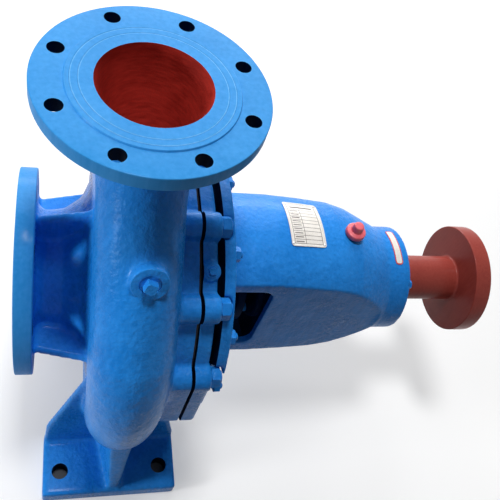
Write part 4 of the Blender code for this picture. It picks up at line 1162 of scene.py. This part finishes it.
coupling = turned("coupling_disc", [
    (HUB_START, 0.0213), (HUB_START, 0.0347, 0.002), (DISC_FACE, 0.0347, 0.004),
    (DISC_FACE, 0.084, 0.0018), (COUPLING_FACE, 0.084, 0.0018), (COUPLING_FACE, 0.046, 0.0006),
    (COUPLING_FACE - 0.0012, 0.045), (COUPLING_FACE - 0.0012, 0.023),
    (COUPLING_FACE - 0.0026, 0.0213),
], 128, red_primer)
cut(coupling, block(
    "keyway", (HUB_START - 0.01, -0.0063, 0), (COUPLING_FACE + 0.01, 0.0063, 0.0253), red_primer))
cut(coupling, hole("grub_screw_hole", grub_at(0.0212), grub_at(0.0283), 0.0045, red_primer))
place_piece(coupling, "rotor", "red_primer", "coupling_half")
grub = rod("grub_screw", grub_at(0.0212), grub_at(0.0230), 0.0043, 32, 0.0005, bright_steel)
cut(grub, rod("socket", grub_at(0.0219), grub_at(0.0240), 0.0024, 6, paint=bright_steel))
place_piece(grub, "rotor", "bright_steel")

# %% [markdown]
# ## Nuts and studs
#
# Ten studs hold casing and cover together, and ten smaller ones hold the bracket. A nut starts
# as a hexagonal bar, and a lathe takes off its corners at 30 degrees on both ends, which leaves
# the curved edges that a real nut has. The stud's end is threaded: a row of small ridges. Each
# nut was tightened by hand, so each stands at its own turn.

# %% Nuts
def fastener(name, across, height, stud_r, stud_end, pitch=0.0016):
    """A nut on the end of its stud, standing on the plane x = 0 and pointing along the shaft."""
    corner = across / math.sqrt(3)
    chamfer = (corner - across * 0.47) * 0.5
    wide = corner * 1.01
    nut = turned(name, [(0, 0), (0, corner), (height, corner), (height, 0)], 6)
    machine(nut, "INTERSECT", [turned("lathe", [
        (0, 0), (0, across * 0.485), (chamfer * 0.7, wide), (height - chamfer, wide),
        (height, across * 0.47), (height, 0)], 48)])
    thread = [(-0.002, 0), (-0.002, stud_r)]
    x = height - 0.001
    while x < stud_end - 0.0022:
        thread += [(x, stud_r), (x + pitch / 2, stud_r * 0.92)]
        x += pitch
    thread += [
        (x, stud_r), (stud_end - 0.001, stud_r * 0.86), (stud_end, stud_r * 0.5),
        (stud_end + 0.0003, 0)]
    stud = turned("stud", thread, 32)
    pick(nut, stud)
    bpy.ops.object.join()
    nut.data.materials.clear()
    return painted(nut, blue_enamel)


def copy_at(model, name, x, angle, radius, turn):
    """A copy, turned about its own line and set on a circle round the shaft."""
    place = Matrix.Translation((x, *round_the_shaft(angle, radius)))
    return twin(model, name, place @ Matrix.Rotation(math.radians(turn), 4, "X"))


def nuts_round(model, name, x, radius, places, turns):
    """Sets a copy of a nut at each angle of a circle, each at its own turn."""
    for angle, turn in zip(places, turns):
        nut = copy_at(model, f"{name}_{int(angle)}", x, angle, radius, turn)
        place_piece(nut, "pump", "blue_enamel")


joint_nut = fastener("joint_nut", 0.024, 0.0120, 0.008, 0.0150)
nuts_round(joint_nut, "joint_nut", COVER_BACK + 0.003, STUD_CIRCLE_R, STUDDED,
           (47, 1, 40, 8, 52, 25, 3, 47, 12, 36))
bpy.data.objects.remove(joint_nut)

BRACKET_NUTS_R = 0.168
bracket_nut = fastener("bracket_nut", 0.017, 0.0085, 0.005, 0.0125, 0.0014)
nuts_round(bracket_nut, "bracket_nut", BRACKET_BACK, BRACKET_NUTS_R, angles(10, 24),
           (11, 38, 20, 5, 50, 29, 44, 16, 33, 24))
bpy.data.objects.remove(bracket_nut)

# %% [markdown]
# ## Plugs
#
# The gauge, flushing and drain tappings are closed by square-headed plugs. The oil filler has a
# red plastic cap: a flat round flange with a soft edge and a knob to turn it by.

# %% Square plugs
def square_plug(name, place, out, thread_r, collar_r, collar, square, head, hidden, depth=0.008):
    """A threaded plug whose square head has chamfered corners."""
    plug = turned(name, [
        (-depth, 0), (-depth, thread_r, 0.001), (0.0, thread_r), (0.0, collar_r, 0.0005),
        (collar, collar_r, 0.0008), (collar, 0)], 48)
    low, wide = collar - 0.001, square * 0.98
    stem = turned("stem", [(low, 0), (low, square), (head, square), (head, 0)], 4)
    machine(stem, "INTERSECT", [turned("lathe", [
        (low, 0), (low, wide), (head - 0.0015, wide), (head, square * 0.80), (head, 0)], 48)])
    weld(plug, stem)
    plug.data.materials.clear()
    painted(plug, blue_enamel)
    return place_piece(point_along(plug, place, out), "pump", "blue_enamel", hidden)


square_plug("gauge_square_plug", GAUGE_AT - GAUGE_OUT * 0.0022, GAUGE_OUT,
            0.0106, 0.0119, 0.0010, 0.0085, 0.0110, "gauge_plug")
square_plug("casing_drain_square_plug", DRAIN_AT + DRAIN_OUT * 0.0002, DRAIN_OUT,
            0.0105, 0.0135, 0.0040, 0.0090, 0.0120, "casing_drain_plug")
square_plug("flushing_square_plug", FLUSH_AT + FLUSH_OUT * 0.0002, FLUSH_OUT,
            0.0058, 0.0076, 0.0018, 0.0054, 0.0056, "flushing_plug", 0.005)
DRAIN_X = BRACKET_BACK + 0.1815
DRAIN_SEAT = -PUMP_AT.z + (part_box("oil_drain_plug")[0].z + 0.014)
square_plug("oil_drain_square_plug", (DRAIN_X, 0, DRAIN_SEAT), (0, 0, -1),
            0.0098, 0.0135, 0.0050, 0.0095, 0.0140, "oil_drain_plug")

# %% Oil filler
OIL_X = BRACKET_BACK + 0.196
OIL_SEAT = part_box("oil_filler_plug")[1].z - PUMP_AT.z - 0.020

oil_cap = turned("oil_cap", [
    (-0.016, 0), (-0.016, 0.0096, 0.001), (0.0, 0.0096), (0.0, 0.0140, 0.001),
    (0.0020, 0.0146, 0.0015), (0.0075, 0.0142, 0.0022), (0.0085, 0.0082, 0.001),
    (0.0165, 0.0076), (0.0192, 0.0070, 0.0018), (0.0195, 0),
], 64, red_plastic)
point_along(oil_cap, (OIL_X, 0, OIL_SEAT), (0, 0, 1))
place_piece(oil_cap, "pump", "red_plastic", "oil_filler_plug")

# %% [markdown]
# ## Stuffing box and bearing covers
#
# Through the side windows one sees the packing gland with its two studs, the sleeve on the shaft
# and the inner bearing cover. The gland presses the packing, so its nuts are tightened evenly. The
# gland and the inner cover have the nearly black enamel: painted shade, as they lie in the
# lantern's shade.

# %% Gland
GLAND_FACE = 0.156
GLAND_BACK = GLAND_FACE + 0.012
GLAND_STUDS_R = 0.0585

gland = turned("gland_flange", [
    (0.130, 0.0308), (0.130, 0.0417), (GLAND_FACE, 0.0417), (GLAND_FACE, 0.066, 0.002),
    (GLAND_BACK, 0.066, 0.002), (GLAND_BACK, 0.040, 0.001), (GLAND_FACE + 0.0105, 0.038),
    (GLAND_FACE + 0.0105, 0.0308),
], 96, painted_shade_enamel)
cut(gland, *[
    hole("stud_hole", (0.15, 0, z), (0.18, 0, z), 0.0056) for z in (-GLAND_STUDS_R, GLAND_STUDS_R)])
place_piece(gland, "pump", "blue_enamel", "packing_gland")
gland_nut = fastener("gland_nut", 0.016, 0.008, 0.0049, 0.0088, 0.0014)
gland_nut.data.materials[0] = dull["near_black_steel"]
for name, angle, turn in (("upper", 0, 14), ("lower", 180, 34)):
    made = copy_at(gland_nut, f"gland_nut_{name}", GLAND_BACK, angle, GLAND_STUDS_R, turn)
    place_piece(made, "pump", "bright_steel")
bpy.data.objects.remove(gland_nut)

# %% Bearing covers
INNER_COVER_FACE, OUTER_COVER_FACE = 0.1857, 0.4238
COVER_BOLTS_R = 0.0500

inner_cover = turned("inner_cover", [
    (INNER_COVER_FACE, 0.0232), (INNER_COVER_FACE, 0.058, 0.003), (0.1885, 0.062, 0.001),
    (0.1957, 0.062), (0.1957, 0.0232)], 96, painted_shade_enamel)
place_piece(inner_cover, "pump", "blue_enamel", "inner_bearing_cover")
outer_cover = turned("outer_cover", [
    (0.4093, 0.0222), (0.4093, 0.0497), (0.4138, 0.0497), (0.4138, 0.062),
    (0.4208, 0.062, 0.0015), (OUTER_COVER_FACE, 0.0595, 0.001), (OUTER_COVER_FACE, 0.034, 0.001),
    (0.4222, 0.032), (0.4222, 0.0222),
], 96, blue_enamel)
place_piece(outer_cover, "pump", "blue_enamel", "outer_bearing_cover")

bolt = fastener("bolt", 0.013, 0.0055, 0.0040, 0.0056)
nuts_round(bolt, "outer_cover_bolt", OUTER_COVER_FACE, COVER_BOLTS_R, angles(4, 45),
           (12, 29, 46, 63))
bolt.data.transform(Matrix.Rotation(math.pi, 4, "Z"))
nuts_round(bolt, "inner_cover_bolt", INNER_COVER_FACE, COVER_BOLTS_R, angles(4, 45),
           (8, 27, 46, 65))
bpy.data.objects.remove(bolt)

# %% [markdown]
# ## Plates
#
# The nameplate is a sheet bent over the bracket's back, with a rolled border and a rivet in each
# corner. It carries only a ruled table. The small strip on the barrel is a sticker with a red edge.
# The grid is fine enough for its faces to be the print: a face is inked by its place.

# %% Bent plate
def bracket_r(x):
    """Radius of the bracket's back at a place along the shaft."""
    for (low, low_r), (high, high_r) in zip(bracket_line, bracket_line[1:]):
        if low <= x <= high:
            return low_r + (high_r - low_r) * (x - low) / (high - low)
    return BARREL_R


def round_corner(u, v, width, height, corner):
    """Pulls a point of a square corner onto a round one, and tells how deep inside it lies."""
    inner_u, inner_v = width / 2 - corner, height / 2 - corner
    over = Vector((max(abs(u) - inner_u, 0), max(abs(v) - inner_v, 0)))
    if not (over.x and over.y):
        return u, v, min(width / 2 - abs(u), height / 2 - abs(v))
    over = over * (max(over.x, over.y) / over.length)
    u, v = math.copysign(inner_u + over.x, u), math.copysign(inner_v + over.y, v)
    return u, v, corner - over.length


def bent_plate(name, along, around, thick, border, corner, print_paint, printed, grid):
    """A grid bent round the bracket, with a raised border and ink on the faces that are printed."""
    (low, high), (first, last) = along, around
    pick()
    bpy.ops.mesh.primitive_grid_add(x_subdivisions=grid[0], y_subdivisions=grid[1], size=1)
    plate = new_piece(name)
    painted(plate, dull["cream_plate"])
    painted(plate, print_paint)
    width = high - low
    mean = (bracket_r(low) + bracket_r(high)) / 2
    height = math.radians(last - first) * mean
    for face in plate.data.polygons:
        u, v = face.center.x * width, face.center.y * height
        u, v, depth = round_corner(u, v, width, height, corner)
        if printed(u + width / 2, v + height / 2, depth):
            face.material_index = 1
    for vert in plate.data.vertices:
        u, v = vert.co.x * width, vert.co.y * height
        u, v, depth = round_corner(u, v, width, height, corner)
        rise = thick * 0.55 if depth < border else 0.0
        x = (low + high) / 2 + u
        angle = (first + last) / 2 + math.degrees(v / mean)
        y, z = round_the_shaft(angle, bracket_r(x) + 0.0003 + thick * 0.45 + rise)
        vert.co = (x, y, z)
    pick(plate)
    bpy.ops.object.mode_set(mode="EDIT")
    face_outwards()
    if sum(face.normal.z for face in plate.data.polygons) < 0:
        plate.data.flip_normals()
    solid = plate.modifiers.new("solid", "SOLIDIFY")
    solid.thickness = thick * 0.45
    solid.offset = -1
    apply(plate, solid)
    return plate


# %% Nameplate and sticker
FRAME_OUT, FRAME_IN = 0.0042, 0.0050
HEADING_AT, TABLE_TOP, ROW = 0.0115, 0.017, 0.0066
STICKER_EDGE = 0.0016


def ruled(u, v, depth):
    """A frame, a heading bar, and a table of empty rows in two columns."""
    if depth < FRAME_OUT:
        return False
    if depth < FRAME_IN or abs(v - HEADING_AT) < 0.0016 and depth > 0.009:
        return True
    row = (v - TABLE_TOP) % ROW
    if v > 0.016 and (row < 0.0008 or abs(u - 0.0215) < 0.0005):
        return True
    return v > 0.018 and 0.0026 < row < 0.0042 and 0.0068 < u < 0.0188


def edged(u, v, depth):
    return depth < STICKER_EDGE


nameplate = bent_plate("name_plate", (0.2140, 0.2655), (-25, 13.5), 0.0012, 0.0022, 0.004,
                       dull["plate_ink"], ruled, (68, 104))
place_piece(nameplate, "pump", "cream_plate", "nameplate")
sticker = bent_plate("barrel_strip", (0.3900, 0.4020), (-28, 19), 0.0008, 0.0, 0.005,
                     dull["sticker_red"], edged, (16, 72))
place_piece(sticker, "pump", "cream_plate", "label_strip")

# %% Rivets
RIVET_X = (0.2165, 0.2630)
RIVET_ANGLES = (-23.2, 11.7)

rivet = turned("rivet", [
    (-0.001, 0), (-0.001, 0.0016), (0.0004, 0.0016), (0.0009, 0.0012), (0.0012, 0.0006),
    (0.0013, 0)], 24, bright_steel)
for i, (x, angle) in enumerate((x, angle) for x in RIVET_X for angle in RIVET_ANGLES):
    out = Vector((0, *round_the_shaft(angle, 1)))
    made = twin(rivet, f"plate_rivet_{i}", Matrix())
    point_along(made, Vector((x, 0, 0)) + out * (bracket_r(x) + 0.0012), out)
    place_piece(made, "pump", "bright_steel")
bpy.data.objects.remove(rivet)

# %% [markdown]
# ## Finishes of the pieces that stay
#
# The remaining solids of the frame have the right shape already. They only get their finish.

# %% Finishes on the frame's own pieces
FINISHES = {
    "suction_wear_ring": dull["cast_metal"],
    "impeller": dull["cast_metal"],
    "impeller_nut": bright_steel,
    "shaft": dull["near_black_steel"],
    "shaft_sleeve": dull["near_black_steel"],
    "coupling_key": bright_steel,
    "bearing_pump_end": bright_steel,
    "bearing_drive_end": bright_steel,
    "gland_stud_upper": dull["near_black_steel"],
    "gland_stud_lower": dull["near_black_steel"],
    "casing_gasket": dull["gasket_black"],
    "packing_rings": dull["packing_braid"],
}
for name, finish in FINISHES.items():
    for slot in nodes[name].material_slots:
        slot.material = finish
print("finished in place:", sorted(FINISHES))

# %% Measure and finish
low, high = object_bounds()
print("visual box:", [round(b - a, 4) for a, b in zip(low, high)])
